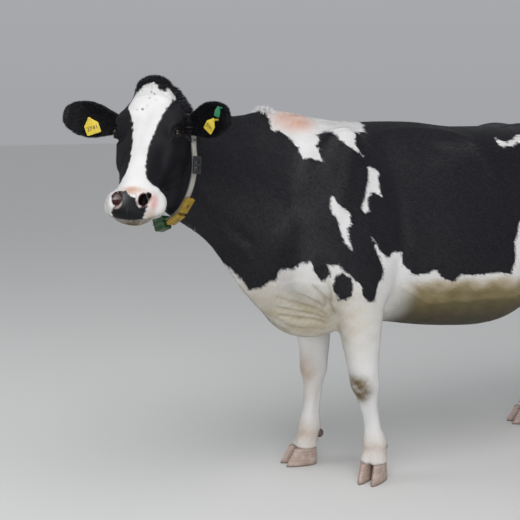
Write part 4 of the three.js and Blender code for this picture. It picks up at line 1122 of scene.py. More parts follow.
def node(tree, kind, settings=None, **inputs):
    made = tree.nodes.new("ShaderNode" + kind)
    for key, value in (settings or {}).items():
        setattr(made, key, value)
    for key, value in inputs.items():
        socket = made.inputs[int(key[1:])] if key[0] == "i" and key[1:].isdigit() \
            else made.inputs[key.replace("_", " ")]
        if isinstance(value, bpy.types.NodeSocket):
            tree.links.new(value, socket)
        else:
            socket.default_value = value
    return made


def math_node(tree, operation, *values):
    given = {f"i{i}": value for i, value in enumerate(values)}
    return node(tree, "Math", {"operation": operation}, **given).outputs[0]


def mixed(tree, share, a, b):
    """Colour a where share is 0, colour b where it is 1."""
    return node(tree, "Mix", {"data_type": "RGBA"}, i0=share, i6=a, i7=b).outputs[2]


def between(tree, share, a, b):
    """Number a where share is 0, number b where it is 1."""
    return node(tree, "Mix", {"data_type": "FLOAT"}, i0=share, i2=a, i3=b).outputs[0]


def ranged(tree, value, low, high, start=0.0, end=1.0, eased=False):
    """Takes the range from low to high over to start and end."""
    kind = {"interpolation_type": "SMOOTHSTEP"} if eased else {}
    return node(tree, "MapRange", kind, Value=value, From_Min=low, From_Max=high,
                To_Min=start, To_Max=end).outputs[0]


def noise(tree, place, scale, detail, roughness=0.5):
    return node(tree, "TexNoise", Vector=place, Scale=scale, Detail=detail,
                Roughness=roughness).outputs["Fac"]


def stored(tree, name, output="Fac"):
    return node(tree, "Attribute", {"attribute_name": name}).outputs[output]


def own_place(tree):
    return node(tree, "TexCoord").outputs["Object"]


def bumped(tree, strength, distance, height):
    return node(tree, "Bump", Strength=strength, Distance=distance, Height=height).outputs[0]


def feed(tree, shader, **sources):
    for key, source in sources.items():
        tree.links.new(source, shader.inputs[key.replace("_", " ")])


skin_places = threes(hide_mesh.vertices, "co") * 1000 - ORIGIN
skin_white, skin_tint, skin_bare = hide_colour(skin_places)
add_values(hide_mesh, "white", "FLOAT", skin_white)
add_values(hide_mesh, "tint", "FLOAT_COLOR", skin_tint)
add_values(hide_mesh, "bare", "FLOAT", skin_bare)

skin_material, tree, shader = new_material("hide", Sheen_Weight=0.03, Sheen_Roughness=0.4)
place, bare = own_place(tree), stored(tree, "bare")
ragged = math_node(tree, "MULTIPLY_ADD", noise(tree, place, 420.0, 3.0), 9.0, -4.5)
edge = math_node(tree, "ADD", stored(tree, "white"), ragged)
share = ranged(tree, edge, -1.6, 1.6, eased=True)
hairs = noise(tree, place, 900.0, 4.0, 0.7)
speckle = node(tree, "TexVoronoi", Vector=place, Scale=330.0).outputs["Distance"]
base = mixed(tree, share, BLACK_HIDE, stored(tree, "tint", "Color"))
factor = between(tree, bare, ranged(tree, hairs, 0.3, 0.7, 0.80, 1.08),
                 ranged(tree, speckle, 0.1, 0.6, 1.12, 0.82))
level = node(tree, "SeparateColor", Color=base).outputs["Green"]
feed(tree, shader,
     Base_Color=node(tree, "VectorMath", {"operation": "SCALE"}, i0=base, Scale=factor).outputs[0],
     Roughness=between(tree, bare, between(tree, share, 0.50, 0.72), 0.36),
     Normal=bumped(tree, 0.30, 0.0016, between(tree, bare, hairs, speckle)),
     Specular_IOR_Level=ranged(tree, level, 0.002, 0.05, 0.06, 0.45))
hide_mesh.materials.append(skin_material)

# ---------------------------------------------------------------- the coat

# Short, glossy summer hair: thin blades rooted in the skin, lying back along the trunk, down the
# legs and outwards from a whorl on the forehead. It is shortest on the face, ears and feet, and
# each blade has the colour of the hide at its root.
TRUNK, HEAD_PART, EAR_LEFT, EAR_RIGHT, FORE, HIND, TAIL, UDDER = range(8)
# name, part of the body, span along it and side (0 for both), number of blades, their length
# and width, and how far the tips stand off
COATS = [
    ("coat_trunk_left_front", TRUNK, (-20, 620), -1, 82000, 13, 2.3, 0.10),
    ("coat_trunk_left_rear", TRUNK, (620, 2000), -1, 86000, 13.5, 2.4, 0.10),
    ("coat_trunk_right_front", TRUNK, (-20, 620), 1, 82000, 13, 2.3, 0.10),
    ("coat_trunk_right_rear", TRUNK, (620, 2000), 1, 86000, 13.5, 2.4, 0.10),
    ("coat_neck_left", TRUNK, (-900, -20), -1, 46000, 13, 2.2, 0.11),
    ("coat_neck_right", TRUNK, (-900, -20), 1, 46000, 13, 2.2, 0.11),
    ("coat_head", HEAD_PART, None, 0, 88000, 6.2, 1.15, 0.11),
    ("coat_ear_left", EAR_LEFT, None, 0, 16000, 6.5, 1.1, 0.14),
    ("coat_ear_right", EAR_RIGHT, None, 0, 16000, 6.5, 1.1, 0.14),
    ("coat_forelegs", FORE, None, 0, 46000, 7.5, 1.6, 0.10),
    ("coat_hindlegs", HIND, None, 0, 48000, 8.5, 1.8, 0.10),
    ("coat_tail", TAIL, None, 0, 9000, 18, 2.2, 0.14),
    ("coat_udder", UDDER, None, 0, 5000, 7, 1.0, 0.20),
]
# where each part lies on the flat pattern of the hide: left, bottom, width, height
PATTERN = {
    TRUNK: (0.00, 0.36, 0.61, 0.63), HEAD_PART: (0.63, 0.63, 0.36, 0.36),
    EAR_LEFT: (0.63, 0.37, 0.17, 0.24), EAR_RIGHT: (0.82, 0.37, 0.17, 0.24),
    FORE: (0.01, 0.01, 0.36, 0.33), HIND: (0.39, 0.01, 0.36, 0.33),
    TAIL: (0.78, 0.01, 0.09, 0.33), UDDER: (0.89, 0.01, 0.10, 0.33),
}
BLADE_PATCH = 0.003
ROOT_DEPTH, MIDDLE_ALONG, MIDDLE_OFF = 0.8, 0.42, 0.62
BARE_OVER = 0.35
HEAD_AND_EAR_PAINTED_SHADE = {HEAD_PART: 0.62, EAR_LEFT: 0.16, EAR_RIGHT: 0.16}
hair_share = 1.0


def parts_of(points):
    """Which part of the body each place belongs to."""
    part = np.full(len(points), TRUNK)
    part[on_head(points) & (head_shape(points) < 14)] = HEAD_PART
    part[udder_shape(points) < 8] = UDDER
    far, _ = along_path(points, tail_line[:, :3])
    part[(far < 60) & (points[:, 0] > 1640) & (tail_shape(points) < 6)] = TAIL
    part[(points[:, 2] < 760) & (points[:, 0] < 700) & (torso(points) > 8)] = FORE
    hind = (points[:, 2] < 800) & (points[:, 0] > 1150) & (torso(points) > 8)
    part[hind & (part == TRUNK)] = HIND
    for side, name in ((1, EAR_LEFT), (-1, EAR_RIGHT)):
        place, share, depth, _ = ear_own(side, points)
        near = (place > 0.06) & (place < 1.2) & (np.abs(share) < 1.4) & (np.abs(depth) < 40)
        part[near] = name
    return part


def pattern_place(points, part):
    """Place on the flat pattern: each part is unrolled about its own length."""
    x, y, z = points.T
    if part == TRUNK:
        u = (x + 660) / 2480
        v = np.arctan2(y - spine(x), 1080 - z) / (2 * math.pi) + 0.5
    elif part == HEAD_PART:
        measures = head_measures(points)
        u = (measures[:, 0] + 110) / 660
        v = np.arctan2(measures[:, 1], -100 - measures[:, 2]) / (2 * math.pi) + 0.5
    elif part in (EAR_LEFT, EAR_RIGHT):
        place, share, depth, _ = ear_own(1 if part == EAR_LEFT else -1, points)
        u = place / 1.1
        v = np.where(depth > 0, 0.25, 0.75) + 0.23 * np.clip(share, -1, 1)
    elif part in (FORE, HIND):
        u = np.zeros(len(points))
        for leg in legs.values():
            own = (np.sign(y) == leg["side"]) & (leg["hind"] == (part == HIND))
            ahead, across = leg_own(leg, points[own])
            turn = np.arctan2(across, ahead) / (2 * math.pi) + 0.5
            u[own] = (0.0 if leg["side"] < 0 else 0.51) + 0.48 * turn
        v = z / 860
    elif part == TAIL:
        _, v = along_path(points, tail_line[:, :3])
        u = np.arctan2(y, x - 1730) / (2 * math.pi) + 0.5
    else:
        u, v = (x - 1120) / 500, y / 440 + 0.5
    left, bottom, width, height = PATTERN[part]
    return np.stack([left + width * np.clip(u, 0, 1), bottom + height * np.clip(v, 0, 1)], 1)


def lie_of_hair(points, normals, part):
    """The way the hair points at each place, along the skin."""
    x, y, z = points.T
    out = np.sign(y - spine(x))
    way = np.stack([np.full(len(points), 0.84), 0 * y, np.full(len(points), -0.52)], 1)

    def turn(share, toward):
        nonlocal way
        way = way + share[:, None] * (np.stack(np.broadcast_arrays(*toward, x)[:3], 1) - way)

    if part == TRUNK:
        turn(smooth(z, 1300, 1470), (0.96, 0.35 * out, -0.10))
        turn(1 - smooth(z, 610, 800), (0.94, -0.30 * out, -0.05))
        turn(smooth(x, 1150, 1420), (0.34, 0.0, -0.94))
        turn(1 - smooth(x, -60, 160), (0.62, 0.0, -0.78))
        turn((1 - smooth(z, 700, 1000)) * (1 - smooth(x, 240, 420)), (0.15, 0.0, -0.98))
        turn(1 - smooth(x, -640, -300), (0.80, 0.12, -0.60))
    elif part == HEAD_PART:
        measures = head_measures(points)
        side = np.sign(measures[:, 1])
        whorl = measures - (128, 0, 0)
        down = smooth(whorl[:, 0], -30, 34)
        face = np.stack([-1 + 2 * down, 0.30 * side * np.minimum(np.abs(whorl[:, 1]) / 40, 1),
                         0 * down], 1)
        cheek = smooth(-measures[:, 2], 28, 84)[:, None]
        face += cheek * (np.stack([0.35 + 0 * down, 0.1 * side, -0.95 + 0 * down], 1) - face)
        way = face @ HEAD_AXES
    elif part in (EAR_LEFT, EAR_RIGHT):
        ear_side = 1 if part == EAR_LEFT else -1
        _, outwards, _, high = ears[ear_side]
        _, share, _, _ = ear_own(ear_side, points)
        way = outwards + np.clip(share, -1, 1)[:, None] * high * 0.7
    elif part in (FORE, HIND, UDDER):
        way = np.stack([0.10 + 0 * x, 0 * x, -1 + 0 * x], 1)
    elif part == TAIL:
        turn(np.ones(len(x)), (0.0, 0.0, -1.0))
        turn(smooth(z, 1290, 1370), (0.9, 0.0, -0.3))
    way = unit(way)
    sway = np.stack([wander(points, 120, key) for key in (51, 52, 53)], 1)
    way = way + 0.16 * sway + draw.normal(0, 0.10, way.shape)
    return unit(way - (way * normals).sum(1, keepdims=True) * normals)


def hair_colour(points, spread=2.0):
    """Colour of the hair rooted at each place, and whether any grows there."""
    white, tint, bare = hide_colour(points)
    pale = (white + draw.normal(0, spread, len(white)) > 0)[:, None]
    black = np.array(BLACK_HAIR) * draw.uniform(0.85, 1.2, (len(points), 1))
    black = black + draw.uniform(0, 0.003, (len(points), 1)) * (1.0, 0.9, 0.8)
    return np.where(pale, tint * draw.uniform(0.94, 1.04, (len(points), 1)), black), bare


hair_material, tree, shader = new_material("hair")
hair = stored(tree, "hair", "Color")
level = node(tree, "SeparateColor", Color=hair).outputs["Green"]
feed(tree, shader, Base_Color=hair, Roughness=ranged(tree, level, 0.03, 0.3, 0.44, 0.66),
     Specular_IOR_Level=ranged(tree, level, 0.004, 0.02, 0.06, 0.32))


def grow(name, centres, across, widths, colours, spots, slot, shine=None):
    """One mesh of thin blades, each from its root through its middle places to its tip."""
    count, rings = centres.shape[:2]
    pairs = rings - 2
    t = np.linspace(0, 1, rings)[1:-1]
    swell = np.minimum(1, 1.25 - t)[None, :, None]
    spread = across[:, None, :] * widths[:, None, None] / 2 * swell
    sides = np.stack([centres[:, 1:-1] + spread, centres[:, 1:-1] - spread], 2)
    vertices = np.concatenate([centres[:, :1], sides.reshape(count, 2 * pairs, 3),
                               centres[:, -1:]], 1)
    faces = [(0, 2, 1)]
    for k in range(pairs - 1):
        a = 1 + 2 * k
        faces += [(a, a + 1, a + 3), (a, a + 3, a + 2)]
    faces.append((2 * pairs - 1, 2 * pairs, 2 * pairs + 1))
    own = 2 * pairs + 2
    corners = (np.arange(count)[:, None, None] * own + np.array(faces)).reshape(-1)
    mesh = bpy.data.meshes.new(name)
    mesh.vertices.add(count * own)
    mesh.vertices.foreach_set("co", in_frame(vertices.reshape(-1, 3)).ravel())
    mesh.loops.add(len(corners))
    mesh.loops.foreach_set("vertex_index", corners)
    mesh.polygons.add(len(corners) // 3)
    mesh.polygons.foreach_set("loop_start", np.arange(0, len(corners), 3))
    mesh.update(calc_edges=True)
    shade_smooth(mesh)
    # Painted shade and light along each blade: darker at the root, lighter at the tip.
    root_shade_tip_light = np.concatenate([[0.86], np.repeat(0.93 + 0.1 * t, 2), [1.05]])
    tones = (colours[:, None, :] * root_shade_tip_light[None, :, None]).reshape(-1, 3)
    add_values(mesh, "hair", "FLOAT_COLOR", np.clip(tones, 0, 1))
    step = np.concatenate([[0], np.repeat(t, 2), [1]]) - 0.5
    aside = np.concatenate([[0], np.tile([-0.5, 0.5], pairs), [0]])
    patch = np.stack([aside, step], 1) * BLADE_PATCH
    flat = (spots[:, None, :] + patch[None]).reshape(-1, 2)
    layer = mesh.uv_layers.new(name="OFBake")
    layer.data.foreach_set("uv", flat[corners].ravel())
    mesh.materials.append(hair_material)
    if shine is not None:
        mesh.normals_split_custom_set_from_vertices(np.repeat(shine, own, axis=0))
    return shown(name, mesh, slot)


hide_mesh.calc_loop_triangles()
triangles = threes(hide_mesh.loop_triangles, "vertices", int)
skin_normals = threes(hide_mesh.vertices, "normal")
corners_of = skin_places[triangles]
middles = corners_of.mean(1)
areas = np.linalg.norm(np.cross(corners_of[:, 1] - corners_of[:, 0],
                                corners_of[:, 2] - corners_of[:, 0]), axis=1) / 2
part_of = parts_of(middles)


def roots_on(chosen, count):
    """Places spread evenly over the chosen triangles of the skin, and the normals there."""
    places = np.flatnonzero(chosen)
    picked = draw.choice(places, count, p=areas[places] / areas[places].sum())
    a, b = draw.random((2, count))
    swap = a + b > 1
    a, b = np.where(swap, 1 - a, a), np.where(swap, 1 - b, b)
    weights = np.stack([1 - a - b, a, b], 1)[:, :, None]
    return ((corners_of[picked] * weights).sum(1),
            unit((skin_normals[triangles[picked]] * weights).sum(1)))


for name, part, span, side, count, length, width, lift in COATS:
    chosen = part_of == part
    if span:
        chosen &= (middles[:, 0] >= span[0]) & (middles[:, 0] < span[1])
        chosen &= (middles[:, 1] - spine(middles[:, 0])) * side >= 0
    roots, normals = roots_on(chosen, int(count * hair_share))
    colours, bare = hair_colour(roots)
    # Painted shade: the black hair on the face is darkened, and on the ears much more.
    if part in (HEAD_PART, EAR_LEFT, EAR_RIGHT):
        colours = np.where(colours[:, 1:2] < 0.1, colours * HEAD_AND_EAR_PAINTED_SHADE[part], colours)
    kept = (bare < BARE_OVER) | (part == UDDER)
    roots, normals, colours = roots[kept], normals[kept], colours[kept]
    way = lie_of_hair(roots, normals, part)
    long = length * draw.uniform(0.7, 1.25, (len(roots), 1))
    if part == HEAD_PART:
        measures = head_measures(roots)
        long *= (0.55 + 0.6 * (1 - smooth(measures[:, 0], 230, 430)))[:, None]
    off = lift * draw.uniform(0.55, 1.45, (len(roots), 1))
    middle = roots + long * (MIDDLE_ALONG * way + MIDDLE_OFF * off * normals)
    centres = np.stack([roots - ROOT_DEPTH * normals, middle,
                        roots + long * (way + off * normals)], 1)
    across = unit(np.cross(normals, way) + 0.25 * draw.normal(size=(len(roots), 1)) * normals)
    shine = unit(normals + 0.05 * draw.normal(size=normals.shape) - 0.10 * way)
    wide = width * draw.uniform(0.75, 1.25, len(roots))
    slot = "bare_skin" if part == UDDER else "coat_black_and_white"
    grow(name, centres, across, wide, colours, pattern_place(roots, part), slot, shine)

# ---------------------------------------------------------------- long hair

# Hair that stands off the coat: curly hair over the crown, fringes and long hairs of the ears, a
# tuft on the withers, the coarse white switch of the tail and whiskers on the muzzle. Each is a
# lock that winds and droops from its root.
FRINGE_GREY, EAR_DARK = (0.075, 0.075, 0.080), (0.006, 0.006, 0.007)
WHISKER_PALE, LASH_BLACK = (0.60, 0.56, 0.50), (0.008, 0.007, 0.007)


def curled(roots, ways, lengths, steps, curl, droop, turns):
    """Middle lines of locks that wind and droop on their way from root to tip."""
    ways = unit(ways)
    aside = unit(np.cross(ways, draw.normal(size=ways.shape)))
    other = np.cross(ways, aside)
    start = draw.uniform(0, 2 * math.pi, (len(roots), 1))
    places = [roots - 1.5 * ways]
    here = roots
    for k in range(steps):
        t = (k + 1) / steps
        angle = start + turns * 2 * math.pi * t
        step = ways + curl * (np.cos(angle) * aside + np.sin(angle) * other)
        step = unit(step - droop * t * UP)
        here = here + step * lengths[:, None] / steps
        places.append(here)
    return np.stack(places, 1)


def crossways(centres):
    run = centres[:, -1] - centres[:, 0]
    return unit(np.cross(run, draw.normal(size=run.shape)))


def lock_roots(chosen, count):
    return roots_on(chosen, int(count * hair_share) + 8)


def jitter(roots, by):
    return by * draw.normal(size=roots.shape)


def toned(colour, darkest, lightest, count):
    return np.array(colour) * draw.uniform(darkest, lightest, (count, 1))


def locks(name, roots, centres, widths, colours, part, slot="coat_black_and_white"):
    """Grows locks along their middle lines, lying crossways at random."""
    return grow(name, centres, crossways(centres), draw.uniform(*widths, len(roots)), colours,
                pattern_place(roots, part), slot)


middle_measures = head_measures(middles)
face_part = part_of == HEAD_PART
crown = face_part & (middle_measures[:, 0] < 52) & (middle_measures[:, 2] > -95)
roots, normals = lock_roots(crown, 5200)
colours, _ = hair_colour(roots, 1.5)
measures = head_measures(roots)
high = 1 - smooth(measures[:, 0], -10, 50)
ways = normals * 0.55 - 0.75 * HEAD_AXES[0] + jitter(roots, 0.45)
pale = colours[:, 1] > 0.2
lengths = (6 + 10 * high) * np.where(pale, 0.6, 1.0) * draw.uniform(0.6, 1.2, len(roots))
centres = curled(roots, ways, lengths, 5, 0.95, 0.35, 1.3)
locks("coat_crown", roots, centres, (1.6, 2.8), colours, HEAD_PART)

for side, part, name in ((1, EAR_LEFT, "left"), (-1, EAR_RIGHT, "right")):
    _, outwards, facing, high = ears[side]
    on_this = part_of == part
    place, share, depth, _ = ear_own(side, middles)
    rim = on_this & ((np.abs(share) > 0.86) | (place > 0.90))
    hollow = on_this & (depth > 0) & (place > 0.10) & (place < 0.72) & (np.abs(share) < 0.92)
    roots, _ = lock_roots(rim, 2400)
    place, share, _, _ = ear_own(side, roots)
    ways = outwards * (0.55 + place[:, None]) + np.clip(share, -1, 1)[:, None] * high
    ways = unit(ways) + 0.3 * facing + jitter(roots, 0.22)
    centres = curled(roots, ways, draw.uniform(3, 7, len(roots)), 3, 0.15, 0.1, 0.3)
    grey = toned(FRINGE_GREY, 0.3, 1.5, len(roots))
    locks("ear_fringe_" + name, roots, centres, (0.6, 1.0), grey, part)
    roots, _ = lock_roots(hollow, 900)
    ways = 0.9 * outwards + 0.30 * facing - 0.30 * high + jitter(roots, 0.25)
    centres = curled(roots, ways, draw.uniform(8, 15, len(roots)), 4, 0.2, 0.3, 0.4)
    dark = toned(EAR_DARK, 0.6, 1.8, len(roots))
    locks("ear_hairs_" + name, roots, centres, (0.9, 1.6), dark, part)

withers = (part_of == TRUNK) & (np.abs(middles[:, 0] + 100) < 24) & (middles[:, 2] > 1484)
roots, normals = lock_roots(withers, 340)
ways = normals + np.array((0.2, 0, 0.3)) + jitter(roots, 0.35)
centres = curled(roots, ways, draw.uniform(12, 30, len(roots)), 4, 0.3, 0.1, 0.6)
colours = toned(WHITE_HAIR, 0.85, 1.05, len(roots))
locks("coat_withers", roots, centres, (1.4, 2.6), colours, TRUNK)

SWITCH_ROUND, SWITCH_LOW = 13, 372
SWITCH_PATH = [(1732, -9, 700), (1732, -9, 600), (1732, -10, 500), (1734, -10, 390)]
count = int(5200 * hair_share)
switch_line = fine_path(SWITCH_PATH, 8)
level = draw.random(count) ** 1.6
spots = switch_line[(level * 11).astype(int)]
around = draw.uniform(0, 2 * math.pi, count)
out = np.stack([np.cos(around), np.sin(around), 0 * around], 1)
roots = spots + out * (SWITCH_ROUND * (1 - 0.6 * level))[:, None]
lengths = np.minimum(draw.uniform(150, 330, count), (roots[:, 2] - SWITCH_LOW))
ways = out * draw.uniform(0.03, 0.24, (count, 1)) - UP
centres = curled(roots, ways, lengths, 7, 0.12, 0.55, 1.6)
tone = toned(WHITE_HAIR, 0.62, 1.0, count)
tone *= 1 - 0.25 * smooth(-centres[:, -1, 2], -520, -380)[:, None] * np.array((0.6, 0.9, 1.3))
switch = locks("coat_tail_switch", roots, centres, (1.8, 3.4), tone, TAIL, "coat_white")
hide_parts("tail_switch")

muzzle = face_part & (middle_measures[:, 0] > 425)
roots, normals = lock_roots(muzzle, 300)
kept = hide_colour(roots)[2] < 0.3
roots, normals = roots[kept], normals[kept]
ways = normals + 0.35 * HEAD_AXES[0] + jitter(roots, 0.3)
centres = curled(roots, ways, draw.uniform(5, 14, len(roots)), 4, 0.1, 0.3, 0.2)
tone = toned(WHISKER_PALE, 0.85, 1.15, len(roots))
locks("whiskers", roots, centres, (0.35, 0.6), tone, HEAD_PART, "coat_white")

# ---------------------------------------------------------------- eyes

# Large brown eyes with a level oval pupil, wet and glossy, under black lids. Each is a ball
# with its own clear surface; the long upper lashes are thin tapered hairs.
IRIS = (0.0050, 0.0030, 0.0022, 1)
IRIS_STREAKS = (0.0100, 0.0056, 0.0036, 1)
PUPIL = (0.0016, 0.0016, 0.0026, 1)
EYE_WHITE = (0.030, 0.020, 0.017, 1)
PUPIL_HEIGHT, PUPIL_EDGE, IRIS_EDGE = 0.36, (0.030, 0.055), (0.60, 0.66)
LASHES = 46
for side, name in ((1, "left"), (-1, "right")):
    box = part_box("eye_" + name)
    centre = (box[0] + box[1]) / 2
    axis = Vector(eye_axis * (1, side, 1) @ HEAD_AXES)
    long = Vector(eye_long * (1, side, 1) @ HEAD_AXES)
    ball = bmesh.new()
    bmesh.ops.create_uvsphere(ball, u_segments=48, v_segments=32, radius=EYE_RADIUS / 1000,
                              matrix=Matrix.Translation(centre))
    mesh = finished_mesh(ball, "eye_" + name)
    shade_smooth(mesh)
    made, tree, shader = new_material("eye_" + name, Roughness=0.10, Specular_IOR_Level=0.08,
                                      Coat_Weight=0.35, Coat_Roughness=0.02)
    place = own_place(tree)
    from_centre = node(tree, "VectorMath", {"operation": "SUBTRACT"}, i0=place, i1=centre)
    from_centre = from_centre.outputs[0]
    sideways = node(tree, "VectorMath", {"operation": "DOT_PRODUCT"}, i0=from_centre, i1=long)
    forward = node(tree, "VectorMath", {"operation": "DOT_PRODUCT"}, i0=from_centre, i1=axis)
    reach = node(tree, "VectorMath", {"operation": "LENGTH"}, i0=from_centre)
    depth = math_node(tree, "DIVIDE", forward.outputs["Value"], reach.outputs["Value"])
    across = math_node(tree, "DIVIDE", sideways.outputs["Value"], reach.outputs["Value"])
    square = math_node(tree, "MULTIPLY", across, across)
    depth_square = math_node(tree, "MULTIPLY", depth, depth)
    rest = math_node(tree, "SUBTRACT", math_node(tree, "SUBTRACT", 1.0, depth_square), square)
    oval_reach = math_node(tree, "ADD", math_node(tree, "MULTIPLY", square, PUPIL_HEIGHT), rest)
    in_pupil = ranged(tree, oval_reach, *PUPIL_EDGE, 1.0, 0.0)
    in_iris = ranged(tree, depth, *IRIS_EDGE)
    iris = mixed(tree, noise(tree, place, 420.0, 4.0), IRIS, IRIS_STREAKS)
    colour = mixed(tree, in_iris, EYE_WHITE, iris)
    feed(tree, shader, Base_Color=mixed(tree, in_pupil, colour, PUPIL))
    mesh.materials.append(made)
    shown("eye_" + name, mesh, "eye", "eye_" + name)

    along = np.linspace(-0.92, 0.80, LASHES) + draw.normal(0, 0.02, LASHES)
    across = along * LID_OPENING[0]
    level = LID_OPENING[1] * np.sqrt(1 - along ** 2) + 0.5
    deep = np.sqrt(np.maximum((EYE_RADIUS + 2.2) ** 2 - across ** 2 - level ** 2, 1))
    upward = eye_high if (eye_high @ HEAD_AXES)[2] > 0 else -eye_high
    own = np.stack([deep, across, level], 1)
    lid_axes = np.stack([eye_axis, eye_long, upward])
    roots = head_place((EYE + own @ lid_axes) * (1, side, 1))
    out = (own * (1, 0.5, 0.75)) @ lid_axes * (1, side, 1) @ HEAD_AXES
    lashes = curled(roots, unit(out) + jitter(out, 0.10), draw.uniform(9, 17, LASHES),
                    5, 0.02, 0.55, 0.1)
    grow("eyelashes_" + name, lashes, crossways(lashes), np.full(LASHES, 0.75),
         np.tile(LASH_BLACK, (LASHES, 1)), pattern_place(roots, HEAD_PART),
         "coat_black_and_white")

# ---------------------------------------------------------------- claws

# Two horn claws to each foot and two dewclaws behind it. A claw is a stack of pointed ovals
# from the flat sole to the coronet, bridged, with growth rings round its wall; pinkish grey.
SOLE_LEVELS = (0, 1, 5, 12, 20, 28, 36, 44, 52, 60, 66, 72)
CORONET = 72
LINE_HEIGHT, CLAW_APART = 60, 27.8
TOE_REACH, HEEL_REACH, CLAW_HALF = 104, 40, 27
DEWCLAW = {"height": 126, "behind": 45, "apart": 25, "radius": 13.6,
           "stretch": (1.3, 1.0, 1.4)}
HORN = ((0.40, 0.30, 0.255, 1), (0.32, 0.235, 0.20, 1), (0.48, 0.38, 0.33, 1))
SOLE_SOIL = (0.10, 0.075, 0.06, 1)
DEWCLAW_HORN = ((0.085, 0.062, 0.050, 1), (0.045, 0.032, 0.026, 1), (0.15, 0.115, 0.095, 1))


def horn_material(name, colours, spacing):
    middling, dark, pale = colours
    made, tree, shader = new_material(name, Roughness=0.62)
    place = own_place(tree)
    rings = node(tree, "TexWave", {"bands_direction": "Z"}, Vector=place, Scale=spacing,
                 Distortion=1.6, Detail=2.0, Detail_Scale=0.6).outputs["Fac"]
    base = mixed(tree, rings, dark, middling)
    base = mixed(tree, ranged(tree, noise(tree, place, 46.0, 5.0), 0.42, 0.66), base, pale)
    fine = math_node(tree, "MULTIPLY", noise(tree, place, 700.0, 2.0), 0.35)
    base = mixed(tree, fine, base, dark)
    height = node(tree, "SeparateXYZ", i0=place).outputs["Z"]
    base = mixed(tree, ranged(tree, height, 0.002, 0.012, 0.75, 0.0), base, SOLE_SOIL)
    feed(tree, shader, Base_Color=base, Normal=bumped(tree, 0.4, 0.0012, rings))
    return made


claw_horn = horn_material("claw_horn", HORN, 26.0)
dewclaw_horn = horn_material("dewclaw_horn", DEWCLAW_HORN, 40.0)


def shown_piece(shape, name, material, slot):
    """A finished shape in the scene, in the place of the frame's node of the same name."""
    bmesh.ops.recalc_face_normals(shape, faces=shape.faces)
    piece = shown(name, finished_mesh(shape, name), slot, name)
    piece.data.materials.append(material)
    return piece


def banded(shape, rings, closed=False):
    """Bridges rings of places with bands of faces; closed runs the last on to the first."""
    loops = []
    for places in rings:
        ring = [shape.verts.new(point) for point in in_frame(places)]
        loops.append([shape.edges.new((ring[i - 1], ring[i])) for i in range(len(ring))])
    for first, second in zip(loops, loops[1:] + loops[:1] if closed else loops[1:]):
        bmesh.ops.bridge_loops(shape, edges=first + second)
    return loops


def standing_at(place, x_axis, y_axis, z_axis):
    """A matrix that stands a piece at a place in the frame, on three axes of its own."""
    rows = np.stack([x_axis, y_axis, z_axis], 1)
    return Matrix([[*row, spot] for row, spot in zip(rows, place)] + [[0, 0, 0, 1]])


def claw_ring(middle, toe, across, which, z):
    share = z / CORONET
    rounding = {0: 3.2, 1: 1.2}.get(z, 0.0)
    toe_reach = TOE_REACH - 44 * share - rounding - 0.8
    heel_reach = HEEL_REACH + 4 * math.sin(math.pi * share) - rounding - 0.8
    half = CLAW_HALF - 3 * share - rounding - 0.5
    angle = np.arange(40) / 40 * 2 * math.pi
    c, s = np.cos(angle), np.sin(angle)
    reach = np.where(c > 0, toe_reach, heel_reach) * np.sign(c) * np.abs(c) ** 0.9
    side = half * s * np.where(c > 0, 1 - 0.35 * c * c, 1)
    return (middle + toe * reach[:, None] + across * (which * CLAW_APART + side)[:, None]
            + UP * (z + 0.2))


for foot, leg in legs.items():
    turn = float(leg_turn(leg, 0.0))
    toe = np.array([-math.cos(turn), -math.sin(turn), 0.0])
    across = np.array([-math.sin(turn), math.cos(turn), 0.0])
    (line_x, high_x), (line_y, high_y) = leg["line_at"](
        np.array([LINE_HEIGHT, DEWCLAW["height"]]))
    middle = np.array([line_x, line_y, 0.0])
    for place_word, which in (("inner", -leg["side"]), ("outer", leg["side"])):
        claw = bmesh.new()
        loops = banded(claw, [claw_ring(middle, toe, across, which, z) for z in SOLE_LEVELS])
        bmesh.ops.holes_fill(claw, edges=loops[0] + loops[-1], sides=0)
        for face in claw.faces:
            face.smooth = len(face.verts) == 4
        shown_piece(claw, f"claw_{foot}_{place_word}", claw_horn, "horn")

        spot = np.array([high_x, high_y, DEWCLAW["height"]])
        spot = spot - toe * DEWCLAW["behind"] + across * which * DEWCLAW["apart"]
        spur = bmesh.new()
        bmesh.ops.create_uvsphere(
            spur, u_segments=24, v_segments=16, radius=DEWCLAW["radius"] / 1000,
            matrix=standing_at(in_frame(spot), toe, across, UP)
            @ Matrix.Diagonal((*DEWCLAW["stretch"], 1)))
        shade_smooth(shown_piece(spur, f"dewclaw_{foot}_{place_word}", dewclaw_horn,
                                 "horn").data)

# ---------------------------------------------------------------- collar

# A woven webbing strap, light grey with darker edges, tight over the crest of the neck and
# hanging below the throat; swept as a flat ring, with its weave in the material.
STRAP_TOP = np.array([-514.0, 0.0, 1526.0])
STRAP_BOTTOM = np.array([-580.0, 0.0, 1104.0])
STRAP_SAG = (124, 213)
STRAP_WIDTH, STRAP_THICKNESS, STRAP_EASE = 30, 5, 3.2
STRAP_STEPS = 24
WEFT, WARP = (0.30, 0.285, 0.255, 1), (0.50, 0.485, 0.45, 1)
WEBBING_GRIME, SELVAGE = (0.20, 0.18, 0.145, 1), (0.060, 0.062, 0.066, 1)

collar_middle = (STRAP_TOP + STRAP_BOTTOM) / 2
neck_ahead = unit(np.array([-1, 2 * NECK_BEND * collar_middle[0], 0]))
collar_middle[1] = spine(collar_middle[0])
collar_up = unit(UP * (STRAP_TOP - STRAP_BOTTOM)[2]
                 + neck_ahead * (STRAP_BOTTOM - STRAP_TOP)[0])
collar_left = np.array([-neck_ahead[1], neck_ahead[0], 0.0])
collar_axis = np.cross(collar_left, collar_up)


